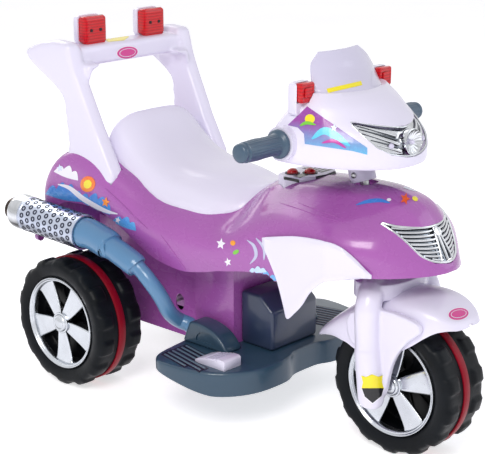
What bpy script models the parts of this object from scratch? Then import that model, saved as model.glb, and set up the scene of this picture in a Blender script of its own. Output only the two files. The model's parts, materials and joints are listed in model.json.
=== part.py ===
"""Three-wheeled electric ride-on motorcycle for small children.

Lengths are in metres, +Z is up and the front of the vehicle faces -Y.
The rider's right hand side is -X. Every piece is its own object; the
pieces that turn or slide hang from empties placed on their own axes.
"""
import math

import bmesh
import bpy
from mathutils import Vector

# Overall placing; heights are given over a floor that lies AXLE_Z below the axles
ORIGIN_SHIFT_Y = 0.0344
AXLE_Z = 0.130
GAP = 0.0003
WALL = 0.003
FLATNESS = 1e-6
MERGE = 0.00005

# Wheels and axles
TYRE_RADIUS = 0.130
TYRE_WIDTH = 0.113
LUG_HEIGHT = 0.0055
TREAD_RADIUS = TYRE_RADIUS - LUG_HEIGHT
SHOULDER_RADIUS = TREAD_RADIUS - 0.004
LUG_COUNT = 14
LUG_INNER_X = 0.022
LUG_SLOPE = 0.003
SHOULDER_ROUND = 0.010
SIDEWALL_CURVE = 0.007
LUG_HALF_ANGLE = math.radians(4.5)
RIM_RADIUS = 0.0932
RIM_WALL = 0.0035
RIM_DISC_THICKNESS = 0.004
RIM_DISC_INSET = 0.010
RIM_SEGMENTS = 25
RIM_TURN = math.radians(5.0)
SPOKE_COUNT = 5
HUB_RADIUS = 0.014
HUBCAP_RADIUS = 0.021
BAND_WIDTH = 0.010
BAND_HEIGHT = 0.003
AXLE_RADIUS = 0.005
AXLE_PLAY = 0.0004
REAR_TRACK = 0.371
REAR_AXLE_Y = 0.274
WHEELBASE = 0.6766
FRONT_AXLE_Y = REAR_AXLE_Y - WHEELBASE

# Steering
RAKE = math.radians(20.0)
STEER_PIVOT_Y = -0.293
STEER_PIVOT_Z = 0.475
STEM_RADIUS = 0.008
STEM_PLAY = 0.0006
STEM_BOTTOM_Z = 0.322
STEM_TOP_Z = 0.580
BUSH_WALL = 0.006
FORK_LEG_RADIUS = 0.0255
FORK_LEG_X = 0.0915
CROWN_RADIUS = 0.046
COLLAR_RADIUS = 0.0235
COLLAR_PLAY = 0.0010
BAR_RADIUS = 0.011
BAR_Y = -0.222
BAR_Z = 0.555
GRIP_RADIUS = 0.0175
GRIP_FLANGE_RADIUS = 0.0255
GRIP_INNER_X = 0.147
GRIP_OUTER_X = 0.2515

# Footboard, battery box and pedal
BOARD_TOP_Z = 0.127
BOARD_FRONT_HEM_Z = 0.081
BOARD_REAR_HEM_Z = 0.108
BOARD_RIB_COUNT = 6
BATTERY_BOX_HALF_WIDTH = 0.066
BATTERY_BOX_FRONT_Y = -0.137
BATTERY_BOX_REAR_Y = -0.0560
BATTERY_BOX_TOP_Z = 0.232
BATTERY_SIZE = (0.070, 0.047, 0.088)
PEDAL_WIDTH = 0.045
PEDAL_LENGTH = 0.074
PEDAL_HEIGHT = 0.019
PEDAL_X = -0.174
PEDAL_REAR_Y = -0.062
PEDAL_PLAY = 0.001

# Under frame and drive
FRAME_WIDE_HALF = 0.085
FRAME_NARROW_HALF = 0.062
FRAME_STEP_Y = 0.046
FRAME_REAR_Y = 0.345
FRAME_TOP_Z = 0.305
FRAME_BOTTOM_Z = 0.100
GEAR_MODULE = 0.002
DRIVE_TEETH = 32
PINION_TEETH = 8
GEAR_WIDTH = 0.012
GEAR_BACKLASH = 0.30
GEARBOX_INNER_X = 0.066
GEARBOX_DEPTH = 0.036
MOTOR_RADIUS = 0.018
MOTOR_LENGTH = 0.057

# Seat and hoop
HOOP_LEG_INNER_X = 0.131
HOOP_LEG_WIDTH = 0.032
HOOP_FLARE = 0.004
HOOP_FLARE_FROM_Z = 0.500
HOOP_FLARE_TO_Z = 0.630
HOOP_BAR_FRONT_Y = 0.306
HOOP_BAR_DEPTH = 0.055
HOOP_BAR_TOP_Z = 0.662
HOOP_SOLE_Z = 0.400
HOOP_BAR_HEIGHT = 0.036
HOOP_LAMP_X = 0.080
HOOP_LAMP_SIZE = (0.057, 0.023, 0.057)
HOOP_LAMP_BASE_DEPTH = 0.017

# Exhausts
SLEEVE_RADIUS = 0.035
SLEEVE_WALL = 0.002
SLEEVE_X = 0.1935
PIPE_RADIUS_WIDE = 0.029
PIPE_RADIUS_MIDDLE = 0.0235
PIPE_RADIUS_NARROW = 0.015
OUTLET_RADIUS = 0.022
BOOT_INNER_X = 0.092
BOOT_OUTER_X = 0.136
BOOT_REAR_Y = 0.032
BOOT_MOUTH_X = 0.1165
BOOT_MOUTH_SHARE = 0.57

# Dash and buttons
DASH_TOP_Z = 0.472
DASH_HEIGHT = 0.030
BUTTON_RADIUS = 0.0105
BUTTON_HEIGHT = 0.010
BUTTON_PLACES = (("dash_button_front", -0.013, -0.179), ("dash_button_rear", -0.036, -0.157))

# Cowl
COWL_LAMP_X = 0.109
COWL_LAMP_SIZE = (0.035, 0.015, 0.035)
COWL_LAMP_TOP_Z = 0.660
COWL_LAMP_FRONT_Y = -0.2535
SCREEN_THICKNESS = 0.003

ROUND = 20

COLOURS = {
    "pink_plastic": ((0.376, 0.112, 0.410), 0.28, 0.0),
    "white_plastic": ((0.760, 0.720, 0.860), 0.32, 0.0),
    "grey_blue_plastic": ((0.085, 0.165, 0.225), 0.38, 0.0),
    "pipe_blue_plastic": ((0.115, 0.235, 0.390), 0.35, 0.0),
    "black_tyre": ((0.012, 0.012, 0.014), 0.50, 0.0),
    "red_band": ((0.300, 0.004, 0.020), 0.45, 0.0),
    "red_lens": ((0.620, 0.004, 0.014), 0.12, 0.0),
    "chrome": ((0.800, 0.810, 0.830), 0.08, 1.0),
    "silver_sleeve": ((0.620, 0.640, 0.700), 0.25, 1.0),
    "dark_bronze": ((0.070, 0.055, 0.045), 0.25, 1.0),
    "steel": ((0.560, 0.570, 0.580), 0.30, 1.0),
    "black_plastic": ((0.020, 0.020, 0.022), 0.45, 0.0),
    "nylon": ((0.650, 0.640, 0.600), 0.50, 0.0),
}


def clear_scene():
    """Start from an empty scene."""
    for old in list(bpy.data.objects):
        bpy.data.objects.remove(old, do_unlink=True)


def make_material(name):
    """A Principled material in one of the object's own colours."""
    if name in bpy.data.materials:
        return bpy.data.materials[name]
    colour, roughness, metallic = COLOURS[name]
    material = bpy.data.materials.new(name)
    material.use_nodes = True
    shader = material.node_tree.nodes["Principled BSDF"]
    shader.inputs["Base Color"].default_value = (*colour, 1.0)
    shader.inputs["Roughness"].default_value = roughness
    shader.inputs["Metallic"].default_value = metallic
    return material


def make_empty(name, location, parent=None, tilt=0.0):
    """An axis or a frame that pieces hang from."""
    empty = bpy.data.objects.new(name, None)
    empty.empty_display_size = 0.03
    bpy.context.collection.objects.link(empty)
    empty.parent = parent
    empty.location = location
    empty.rotation_euler = (tilt, 0.0, 0.0)
    return empty


def make_object(name, bm, colour, parent, origin=(0.0, 0.0, 0.0), sharp=38.0):
    """Turn a closed bmesh, drawn in the vehicle's frame, into an object with its own origin."""
    split_bent_faces(bm)
    bmesh.ops.recalc_face_normals(bm, faces=bm.faces)
    bmesh.ops.translate(bm, verts=bm.verts, vec=-Vector(origin))
    mesh = bpy.data.meshes.new(name)
    bm.to_mesh(mesh)
    bm.free()
    mesh.shade_smooth()
    mesh.set_sharp_from_angle(angle=math.radians(sharp))
    obj = bpy.data.objects.new(name, mesh)
    bpy.context.collection.objects.link(obj)
    obj.data.materials.append(make_material(colour))
    obj.parent = parent
    obj.location = Vector(origin) - frame_offset(parent)
    return obj


def split_bent_faces(bm):
    """Split the faces whose corners aren't in one plane into triangles."""
    bm.normal_update()
    bent = []
    for face in bm.faces:
        middle = face.calc_center_median()
        if any(abs((vertex.co - middle).dot(face.normal)) > FLATNESS for vertex in face.verts):
            bent.append(face)
    bmesh.ops.triangulate(bm, faces=bent)


def frame_offset(parent):
    """Where a parent empty sits in the vehicle's frame."""
    offset = Vector((0.0, 0.0, 0.0))
    while parent is not None and parent.parent is not None:
        offset += parent.location
        parent = parent.parent
    return offset


def make_guide(name, bm, parent):
    """A solid that only shapes another piece and isn't a piece itself."""
    guide = make_object(name, bm, "nylon", parent)
    guide.hide_render = True
    guide.display_type = "WIRE"
    return guide


def add_boolean(obj, other, operation):
    """One exact boolean step."""
    modifier = obj.modifiers.new(other.name, "BOOLEAN")
    modifier.operation = operation
    modifier.solver = "EXACT"
    modifier.object = other


def cut(obj, guide):
    add_boolean(obj, guide, "DIFFERENCE")


def join(obj, guide):
    add_boolean(obj, guide, "UNION")


def keep_inside(obj, guide):
    add_boolean(obj, guide, "INTERSECT")


def add_weld(obj):
    """Merge the points that a row of cuts left next to each other."""
    modifier = obj.modifiers.new("merging", "WELD")
    modifier.merge_threshold = MERGE


def add_bevel(obj, width, segments=2, angle=40.0):
    """Round the edges that turn by more than the angle."""
    modifier = obj.modifiers.new("rounding", "BEVEL")
    modifier.width = width
    modifier.segments = segments
    modifier.limit_method = "ANGLE"
    modifier.angle_limit = math.radians(angle)


def loft(rings, cap=True):
    """Skin a row of closed rings that have the same number of points."""
    bm = bmesh.new()
    rows = [[bm.verts.new(point) for point in ring] for ring in rings]
    for row, after in zip(rows, rows[1:]):
        for index, vertex in enumerate(row):
            follower = (index + 1) % len(row)
            bm.faces.new((vertex, row[follower], after[follower], after[index]))
    if cap:
        bm.faces.new(rows[0])
        bm.faces.new(rows[-1])
    return bm


def prism(outline, axis, low, high):
    """Extrude a flat outline along X, Y or Z; the outline holds the other two coordinates."""
    def place(pair, along):
        values = list(pair)
        values.insert(axis, along)
        return Vector(values)
    return loft([[place(pair, low) for pair in outline], [place(pair, high) for pair in outline]])


def box(low, high):
    """A plain box between two corners."""
    outline = [(low[0], low[1]), (high[0], low[1]), (high[0], high[1]), (low[0], high[1])]
    return prism(outline, 2, low[2], high[2])


def first_side(direction):
    """A direction across the given one, near +X or +Z."""
    direction = Vector(direction).normalized()
    guide = Vector((1.0, 0.0, 0.0))
    if abs(direction.x) > 0.9:
        guide = Vector((0.0, 0.0, 1.0))
    return (guide - direction * guide.dot(direction)).normalized()


def ring_at(centre, direction, radius, segments, side=None):
    """A circle round a direction; its first point lies towards the side."""
    direction = Vector(direction).normalized()
    if side is None:
        side = first_side(direction)
    other = direction.cross(side)
    turns = [2.0 * math.pi * index / segments for index in range(segments)]
    return [Vector(centre) + radius * (math.cos(t) * side + math.sin(t) * other) for t in turns]


def rod(start, end, radius, segments=ROUND):
    direction = Vector(end) - Vector(start)
    return loft([ring_at(start, direction, radius, segments), ring_at(end, direction, radius, segments)])


def stepped_tube(path, segments=12):
    """A solid round rod along points (x, y, z, radius); close points make a step in radius."""
    points = [Vector(item[:3]) for item in path]
    rings = []
    side = None
    for index, item in enumerate(path):
        before = points[max(index - 1, 0)]
        after = points[min(index + 1, len(points) - 1)]
        direction = (after - before).normalized()
        side = first_side(direction) if side is None else (side - direction * side.dot(direction)).normalized()
        rings.append(ring_at(points[index], direction, item[3], segments, side))
    return loft(rings)


def turned(profile, centre, segments=ROUND, turn=0.0):
    """Turn a closed profile of (along X, radius) points round an axis parallel to X."""
    rings = []
    for index in range(segments):
        angle = turn + 2.0 * math.pi * index / segments
        rings.append([around_x(centre, along, radius, angle) for along, radius in profile])
    return closed_loft(rings)


def around_x(centre, along, radius, angle):
    """A point at a radius and an angle from straight down, round an axis parallel to X."""
    return Vector((centre[0] + along, centre[1] + radius * math.sin(angle), centre[2] - radius * math.cos(angle)))


def closed_loft(rings):
    """Skin rings that go all the way round and meet themselves."""
    bm = bmesh.new()
    rows = [[bm.verts.new(point) for point in ring] for ring in rings]
    for row, after in zip(rows, rows[1:] + rows[:1]):
        for index, vertex in enumerate(row):
            follower = (index + 1) % len(row)
            bm.faces.new((vertex, row[follower], after[follower], after[index]))
    return bm


def smooth_through(points, steps):
    """A Catmull-Rom curve through the points, with the given steps in each span."""
    vectors = [Vector(point) for point in points]
    ends = [2 * vectors[0] - vectors[1]] + vectors + [2 * vectors[-1] - vectors[-2]]
    curve = []
    for index in range(1, len(ends) - 2):
        a, b, c, d = ends[index - 1:index + 3]
        for step in range(steps):
            t = step / steps
            curve.append(0.5 * (2 * b + (c - a) * t + (2 * a - 5 * b + 4 * c - d) * t ** 2
                                + (3 * b - a - 3 * c + d) * t ** 3))
    curve.append(vectors[-1])
    return curve


def mirrored(half):
    """A full outline from its half with x >= 0, listed from the middle outwards and back."""
    return list(half) + [Vector((-point[0], *point[1:])) for point in reversed(half) if abs(point[0]) > 1e-6]


def value_between(table, key, column):
    """Read one column of a table that is sorted by its first column, straight between rows."""
    rows = sorted(table)
    if key <= rows[0][0]:
        return rows[0][column]
    for low, high in zip(rows, rows[1:]):
        if key <= high[0]:
            share = (key - low[0]) / (high[0] - low[0])
            return low[column] + share * (high[column] - low[column])
    return rows[-1][column]


# Body: each row is y, middle height, shoulder x and z, side x and z, hem x and z
BODY_STATIONS = (
    (0.420, 0.345, 0.112, 0.337, 0.134, 0.302, 0.130, 0.256),
    (0.398, 0.392, 0.148, 0.386, 0.162, 0.350, 0.138, 0.266),
    (0.350, 0.441, 0.160, 0.441, 0.173, 0.403, 0.142, 0.292),
    (0.300, 0.458, 0.161, 0.462, 0.174, 0.412, 0.142, 0.300),
    (0.240, 0.456, 0.158, 0.452, 0.173, 0.403, 0.142, 0.302),
    (0.185, 0.434, 0.146, 0.427, 0.167, 0.372, 0.140, 0.290),
    (0.110, 0.410, 0.128, 0.390, 0.160, 0.345, 0.138, 0.249),
    (0.030, 0.400, 0.121, 0.384, 0.156, 0.330, 0.134, 0.232),
    (-0.030, 0.405, 0.108, 0.386, 0.152, 0.333, 0.132, 0.244),
    (-0.065, 0.420, 0.085, 0.394, 0.150, 0.340, 0.132, 0.254),
    (-0.090, 0.440, 0.080, 0.404, 0.148, 0.348, 0.132, 0.261),
    (-0.125, 0.455, 0.077, 0.435, 0.146, 0.362, 0.133, 0.273),
    (-0.180, 0.467, 0.073, 0.452, 0.144, 0.384, 0.136, 0.291),
    (-0.250, 0.474, 0.070, 0.457, 0.144, 0.399, 0.139, 0.314),
    (-0.330, 0.475, 0.070, 0.457, 0.143, 0.403, 0.140, 0.334),
    (-0.370, 0.471, 0.064, 0.453, 0.132, 0.402, 0.132, 0.341),
    (-0.400, 0.465, 0.055, 0.449, 0.116, 0.399, 0.120, 0.3445),
    (-0.420, 0.456, 0.048, 0.441, 0.100, 0.394, 0.107, 0.345),
    (-0.436, 0.442, 0.041, 0.428, 0.083, 0.387, 0.093, 0.3455),
    (-0.450, 0.421, 0.034, 0.410, 0.067, 0.379, 0.078, 0.346),
    (-0.463, 0.400, 0.027, 0.392, 0.051, 0.370, 0.063, 0.3465),
    (-0.474, 0.381, 0.020, 0.375, 0.037, 0.362, 0.046, 0.347),
    (-0.482, 0.366, 0.013, 0.363, 0.024, 0.356, 0.029, 0.3475),
    (-0.487, 0.357, 0.006, 0.356, 0.011, 0.354, 0.014, 0.348),
)


def body_half_width(y, z):
    """How far out the body's side is at a height between its shoulder and its hem."""
    shoulder_x, shoulder_z = (value_between(BODY_STATIONS, y, column) for column in (2, 3))
    side_x, side_z = (value_between(BODY_STATIONS, y, column) for column in (4, 5))
    hem_x, hem_z = (value_between(BODY_STATIONS, y, column) for column in (6, 7))
    rows = ((hem_z, hem_x), (side_z, side_x), (shoulder_z, shoulder_x))
    return value_between(rows, z, 1)


def body_ring(station, inset, drop):
    """One cross-section; an inset makes the hollow's section, which runs out below the hem."""
    y, top_z, shoulder_x, shoulder_z, side_x, side_z, hem_x, hem_z = station
    half = [
        (0.0, y, top_z - inset),
        (shoulder_x * 0.55, y, top_z - inset - 0.28 * (top_z - shoulder_z)),
        (max(shoulder_x - inset, 0.004), y, shoulder_z - inset),
        (max(side_x - inset, 0.006), y, side_z - 0.5 * inset),
        (max(hem_x - inset, 0.008), y, hem_z - drop),
    ]
    return mirrored(smooth_through(half, 2))


def body_shell(parent):
    """The moulded body: one hollow shell, open below, with its openings cut out."""
    shell = make_object("body_shell", loft([body_ring(s, 0.0, 0.0) for s in BODY_STATIONS]), "pink_plastic", parent)
    inner = [list(station) for station in BODY_STATIONS[:-1]]
    inner[0][0] -= WALL
    hollow = make_guide("guide_body_hollow", loft([body_ring(s, WALL, 0.06) for s in inner]), parent)
    cut(shell, hollow)
    return shell


# Seat: each row is y, half width, middle height, heights at half and at four fifths of the way out, edge height
SEAT_STATIONS = (
    (0.262, 0.122, 0.508, 0.506, 0.487, 0.450),
    (0.250, 0.122, 0.532, 0.529, 0.510, 0.455),
    (0.230, 0.122, 0.525, 0.522, 0.502, 0.449),
    (0.202, 0.122, 0.500, 0.498, 0.479, 0.432),
    (0.156, 0.122, 0.471, 0.468, 0.449, 0.406),
    (0.098, 0.122, 0.452, 0.449, 0.432, 0.390),
    (0.030, 0.120, 0.446, 0.442, 0.424, 0.384),
    (-0.015, 0.114, 0.441, 0.436, 0.416, 0.384),
    (-0.045, 0.100, 0.438, 0.431, 0.412, 0.387),
    (-0.070, 0.078, 0.438, 0.431, 0.414, 0.395),
    (-0.084, 0.045, 0.440, 0.436, 0.426, 0.412),
    (-0.091, 0.015, 0.441, 0.440, 0.438, 0.433),
)
SEAT_SKIRT = 0.020


def seat_ring(station, inset, drop):
    y, width, middle_z, near_z, far_z, edge_z = station
    half = [
        (0.0, y, middle_z - inset),
        (width * 0.49, y, near_z - inset),
        (width * 0.82 - inset * 0.5, y, far_z - inset),
        (width - inset, y, edge_z + 0.2 * (far_z - edge_z)),
        (width - inset, y, edge_z - SEAT_SKIRT - drop),
    ]
    return mirrored(smooth_through(half[:4], 2) + [Vector(half[4])])


def seat(parent):
    """The moulded saddle with its raised back lip: a shell, open below."""
    saddle = make_object("seat", loft([seat_ring(s, 0.0, 0.0) for s in SEAT_STATIONS]), "white_plastic", parent)
    inner = [list(station) for station in SEAT_STATIONS]
    inner[0][0] -= WALL
    inner[-1][0] += WALL
    hollow = make_guide("guide_seat_hollow", loft([seat_ring(s, WALL, 0.03) for s in inner]), parent)
    cut(saddle, hollow)
    return saddle


def seat_space(parent):
    """The seat's outer shape with a gap all round, which the body leaves free."""
    grown = [list(station) for station in SEAT_STATIONS]
    grown[0][0] += GAP
    grown[-1][0] -= GAP
    return make_guide("guide_seat_space", loft([seat_ring(s, -GAP, GAP) for s in grown]), parent)


# Hoop leg from the side, from the foot's front edge upwards: y, and height as a share of the way from the
# foot's sole to the bar's top. The foot's slot in the body is drawn the same way.
HOOP_LEG_OUTLINE = (
    (0.19, 0.0954), (0.232, 0.3817), (0.272, 0.6870), (0.292, 0.8473), (0.3, 0.9542), (0.306, 1.0382),
    (0.345, 1.0496), (0.39, 1.0229), (0.432, 0.9618), (0.437, 0.9275), (0.42, 0.8664), (0.385, 0.7863),
    (0.352, 0.7176), (0.33, 0.6489), (0.322, 0.5725), (0.327, 0.5344), (0.319, 0.4885), (0.324, 0.4427),
    (0.318, 0.3969), (0.323, 0.3511), (0.317, 0.2977), (0.322, 0.2290), (0.322, 0.1527), (0.3, 0.0573),
    (0.23, 0.0000), (0.2, 0.0191),
)
HOOP_FOOT_OUTLINE = (
    (0.1895, 0.0992), (0.25, 0.5344), (0.33, 0.5344), (0.3245, 0.0534), (0.23, -0.0191), (0.198, 0.0076),
)


def hoop_points(outline):
    """An outline of the hoop in y and z."""
    return [(y, HOOP_SOLE_Z + share * (HOOP_BAR_TOP_Z - HOOP_SOLE_Z)) for y, share in outline]


def hoop_leg(sign):
    """One side leg; it leans outwards over its upper part."""
    rings = []
    for x in (HOOP_LEG_INNER_X, HOOP_LEG_INNER_X + HOOP_LEG_WIDTH):
        ring = []
        for y, z in hoop_points(HOOP_LEG_OUTLINE):
            rise = (z - HOOP_FLARE_FROM_Z) / (HOOP_FLARE_TO_Z - HOOP_FLARE_FROM_Z)
            ring.append(Vector((sign * (x + HOOP_FLARE * min(max(rise, 0.0), 1.0)), y, z)))
        rings.append(ring)
    return loft(rings)


def rear_hoop(parent):
    """The hand hoop behind the seat: two side legs with wings, and the bar across the top."""
    hoop = make_object("rear_hoop", hoop_leg(1), "white_plastic", parent)
    other = make_guide("guide_right_leg", hoop_leg(-1), parent)
    add_bevel(hoop, 0.004, 1)
    add_bevel(other, 0.004, 1)
    corner = 0.030
    bottom_z = HOOP_BAR_TOP_Z - HOOP_BAR_HEIGHT
    reach = HOOP_LEG_INNER_X + HOOP_FLARE + 0.006
    half = [(0.0, HOOP_BAR_TOP_Z), (reach - 0.020, HOOP_BAR_TOP_Z), (reach, HOOP_BAR_TOP_Z - 0.006),
            (reach, bottom_z - corner), (reach - 0.008, bottom_z - corner), (reach - 0.016, bottom_z - 0.010),
            (reach - corner, bottom_z), (0.0, bottom_z)]
    outline = half + [(-x, z) for x, z in reversed(half) if x > 0.0]
    bar = make_guide("guide_hoop_bar", prism(outline, 1, HOOP_BAR_FRONT_Y, HOOP_BAR_FRONT_Y + HOOP_BAR_DEPTH), parent)
    join(hoop, bar)
    join(hoop, other)
    return hoop


def hoop_foot_spaces(parent):
    """The slots in the body that the hoop's feet stand in."""
    low = HOOP_LEG_INNER_X - GAP
    high = HOOP_LEG_INNER_X + HOOP_LEG_WIDTH + GAP
    outline = hoop_points(HOOP_FOOT_OUTLINE)
    right = make_guide("guide_foot_slot_right", prism(outline, 0, -high, -low), parent)
    left = make_guide("guide_foot_slot_left", prism(outline, 0, low, high), parent)
    return right, left


def hoop_lamps(parent):
    """Two red lamps on white bases, standing on the hoop's bar."""
    width, depth, height = HOOP_LAMP_SIZE
    bottom = HOOP_BAR_TOP_Z + GAP
    front = HOOP_BAR_FRONT_Y + 0.013
    for side, sign in (("right", -1), ("left", 1)):
        x = sign * HOOP_LAMP_X
        lens = box((x - width / 2, front, bottom), (x + width / 2, front + depth, bottom + height))
        add_bevel(make_object(f"hoop_lamp_lens_{side}", lens, "red_lens", parent), 0.004)
        back = front + depth + GAP
        base = box((x - width / 2, back, bottom), (x + width / 2, back + HOOP_LAMP_BASE_DEPTH, bottom + height))
        add_bevel(make_object(f"hoop_lamp_base_{side}", base, "white_plastic", parent), 0.004)


# Side fin: y, lower and upper edge heights
FIN_STATIONS = (
    (-0.188, 0.370, 0.3815), (-0.200, 0.348, 0.3850), (-0.219, 0.306, 0.3895), (-0.234, 0.264, 0.3930),
    (-0.243, 0.242, 0.3950), (-0.260, 0.256, 0.3985), (-0.278, 0.276, 0.4007), (-0.296, 0.303, 0.4020),
    (-0.324, 0.327, 0.4030), (-0.345, 0.334, 0.4010), (-0.364, 0.339, 0.3935), (-0.380, 0.3430, 0.3810),
    (-0.396, 0.3465, 0.3650), (-0.408, 0.3470, 0.3530),
)
FIN_THICKNESS = 0.004
FIN_STAND_OFF = 0.0075
FIN_ROWS = 4


def side_fin(name, sign, parent):
    """A white leg shield on the body's flank; it follows the flank and hangs below it to a point."""
    rings = []
    for y, low, high in FIN_STATIONS:
        heights = [low + (high - low) * row / FIN_ROWS for row in range(FIN_ROWS + 1)]
        inner = [Vector((sign * (fin_x(y, z)), y, z)) for z in heights]
        outer = [Vector((sign * (fin_x(y, z) + FIN_THICKNESS), y, z)) for z in reversed(heights)]
        rings.append(inner + outer)
    return make_object(name, loft(rings), "white_plastic", parent, sharp=30.0)


def fin_x(y, z):
    """The fin's inner face: a little outside the flank, and hanging straight below the hem."""
    return body_half_width(y, z) + FIN_STAND_OFF


# Grille mouth from the front: x and z of its right half, from the middle top outwards
MOUTH_HALF = ((0.0, 0.425), (0.015, 0.4245), (0.047, 0.426), (0.070, 0.4295), (0.084, 0.433),
              (0.068, 0.405), (0.053, 0.380), (0.032, 0.367), (0.0, 0.362))
MOUTH_REAR_Y = -0.376


def mouth_outline(inset):
    """The mouth drawn in by a margin, straight towards its middle."""
    middle = Vector((0.0, 0.400))
    half = [Vector(point) for point in MOUTH_HALF]
    half = [point + (middle - point).normalized() * inset for point in half]
    half[0].x = 0.0
    half[-1].x = 0.0
    return half + [Vector((-point.x, point.y)) for point in reversed(half[1:-1])]


def front_grille(parent):
    """The chromed grille: it fills the mouth and follows the nose, a little set in."""
    outer = [list(s) for s in BODY_STATIONS]
    grille = make_object("front_grille", loft([body_ring(s, 0.0022, 0.0) for s in outer[15:]]), "chrome", parent)
    mouth = make_guide("guide_grille_edge", prism(mouth_outline(0.0006), 1, -0.52, MOUTH_REAR_Y - 0.002), parent)
    keep_inside(grille, mouth)
    inner = [list(s) for s in BODY_STATIONS[15:-1]]
    for station in inner:
        station[0] += 0.006
    cut(grille, make_guide("guide_grille_back", loft([body_ring(s, 0.0062, 0.0) for s in inner]), parent))
    return grille


def exhaust(side, sign, parent):
    """One exhaust: foot boot, stepped pipe, perforated sleeve, chrome bell and dark outlet."""
    front_y, front_z = 0.2400, 0.3143
    rear_y, rear_z = 0.4080, 0.3205
    x = sign * SLEEVE_X
    along = Vector((0.0, rear_y - front_y, rear_z - front_z)).normalized()
    front = Vector((x, front_y, front_z))
    rear = Vector((x, rear_y, rear_z))
    inner = SLEEVE_RADIUS - SLEEVE_WALL
    sleeve = closed_loft(tube_rings(front, rear, SLEEVE_RADIUS, inner))
    make_object(f"muffler_sleeve_{side}", sleeve, "silver_sleeve", parent)
    exhaust_pipe(side, sign, front, along, parent)
    bell_front = rear + along * GAP
    bell = turned_along(bell_front, along, (
        (0.0, SLEEVE_RADIUS - 0.001), (0.020, SLEEVE_RADIUS + 0.001), (0.034, SLEEVE_RADIUS - 0.002),
        (0.034, SLEEVE_RADIUS - 0.005), (0.006, SLEEVE_RADIUS - 0.007), (0.006, OUTLET_RADIUS + GAP),
        (0.0, OUTLET_RADIUS + GAP)))
    make_object(f"muffler_bell_{side}", bell, "chrome", parent)
    outlet_start = rear + along * (-0.020)
    outlet = turned_along(outlet_start, along, (
        (0.0, OUTLET_RADIUS), (0.069, OUTLET_RADIUS), (0.071, OUTLET_RADIUS + 0.001), (0.074, OUTLET_RADIUS + 0.001),
        (0.074, OUTLET_RADIUS - 0.003), (0.0, OUTLET_RADIUS - 0.003)))
    make_object(f"exhaust_outlet_{side}", outlet, "dark_bronze", parent)
    exhaust_boot(side, sign, parent)


def tube_rings(start, end, outer, inner):
    """Rings of a straight tube's wall section, taken round its axis."""
    direction = end - start
    loops = [ring_at(start, direction, outer, ROUND), ring_at(end, direction, outer, ROUND),
             ring_at(end, direction, inner, ROUND), ring_at(start, direction, inner, ROUND)]
    return [[loop[index] for loop in loops] for index in range(ROUND)]


def turned_along(start, along, profile):
    """Turn a closed profile of (distance, radius) points round a slanted axis."""
    loops = [ring_at(start + along * distance, along, radius, ROUND) for distance, radius in profile]
    return closed_loft([[loop[index] for loop in loops] for index in range(ROUND)])


# Pipe path: share of the way out from the boot's mouth to the sleeve, y, z and radius
PIPE_PATH = (
    (0.960, 0.214, 0.3110, PIPE_RADIUS_WIDE), (0.950, 0.176, 0.3012, PIPE_RADIUS_WIDE),
    (0.950, 0.173, 0.2998, PIPE_RADIUS_MIDDLE), (0.915, 0.138, 0.2868, PIPE_RADIUS_MIDDLE),
    (0.880, 0.105, 0.2735, PIPE_RADIUS_MIDDLE), (0.872, 0.099, 0.2700, PIPE_RADIUS_NARROW),
    (0.845, 0.083, 0.2575, PIPE_RADIUS_NARROW), (0.800, 0.071, 0.2440, PIPE_RADIUS_NARROW),
    (0.720, 0.062, 0.2290, PIPE_RADIUS_NARROW), (0.610, 0.054, 0.2080, PIPE_RADIUS_NARROW),
    (0.490, 0.0505, 0.1880, PIPE_RADIUS_NARROW), (0.300, 0.0505, 0.1720, PIPE_RADIUS_NARROW),
    (0.110, 0.0480, 0.1605, PIPE_RADIUS_NARROW),
)


def exhaust_pipe(side, sign, front, along, parent):
    """The pipe from the boot up over the wheel: three widths with steps at the joints."""
    end = front + along * 0.010
    path = [
        (end.x, end.y, end.z, PIPE_RADIUS_WIDE - 0.002),
        (front.x, front.y, front.z, PIPE_RADIUS_WIDE - 0.002),
        (front.x, front.y - 0.001, front.z, PIPE_RADIUS_WIDE + 0.001),
    ]
    for share, y, z, radius in PIPE_PATH:
        x = BOOT_MOUTH_X + share * (SLEEVE_X - BOOT_MOUTH_X)
        path.append((sign * x, y, z, radius))
    mouth, outwards = boot_mouth(sign)
    for distance in (0.012, 0.006, GAP):
        point = mouth + outwards * distance
        path.append((point.x, point.y, point.z, PIPE_RADIUS_NARROW))
    make_object(f"exhaust_pipe_{side}", stepped_tube(path), "pipe_blue_plastic", parent)


# Boot from the side: distance ahead of its rear foot, and height above the footboard
BOOT_OUTLINE = ((0.0, 0.0), (0.0170, 0.0400), (0.0230, 0.0435), (0.0330, 0.0445), (0.0540, 0.0430),
                (0.0760, 0.0375), (0.0930, 0.0290), (0.1060, 0.0180), (0.1140, 0.0070), (0.1160, 0.0))


def boot_outline(inset):
    """The arch from the side; an inset draws it in and lets it run out below."""
    bottom = BOARD_TOP_Z + GAP
    points = []
    for ahead, height in BOOT_OUTLINE:
        ahead = min(max(ahead, 1.3 * inset), BOOT_OUTLINE[-1][0] - 1.3 * inset)
        points.append((BOOT_REAR_Y - ahead, bottom + height - inset))
    return points


def boot_mouth(sign):
    """Where the pipe meets the boot's slanted rear face, and the way out of that face."""
    low, high = BOOT_OUTLINE[0], BOOT_OUTLINE[1]
    bottom = BOARD_TOP_Z + GAP
    place = Vector((sign * BOOT_MOUTH_X, BOOT_REAR_Y - BOOT_MOUTH_SHARE * high[0],
                    bottom + BOOT_MOUTH_SHARE * high[1]))
    outwards = Vector((0.0, high[1] - low[1], high[0] - low[0])).normalized()
    return place, outwards


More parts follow.
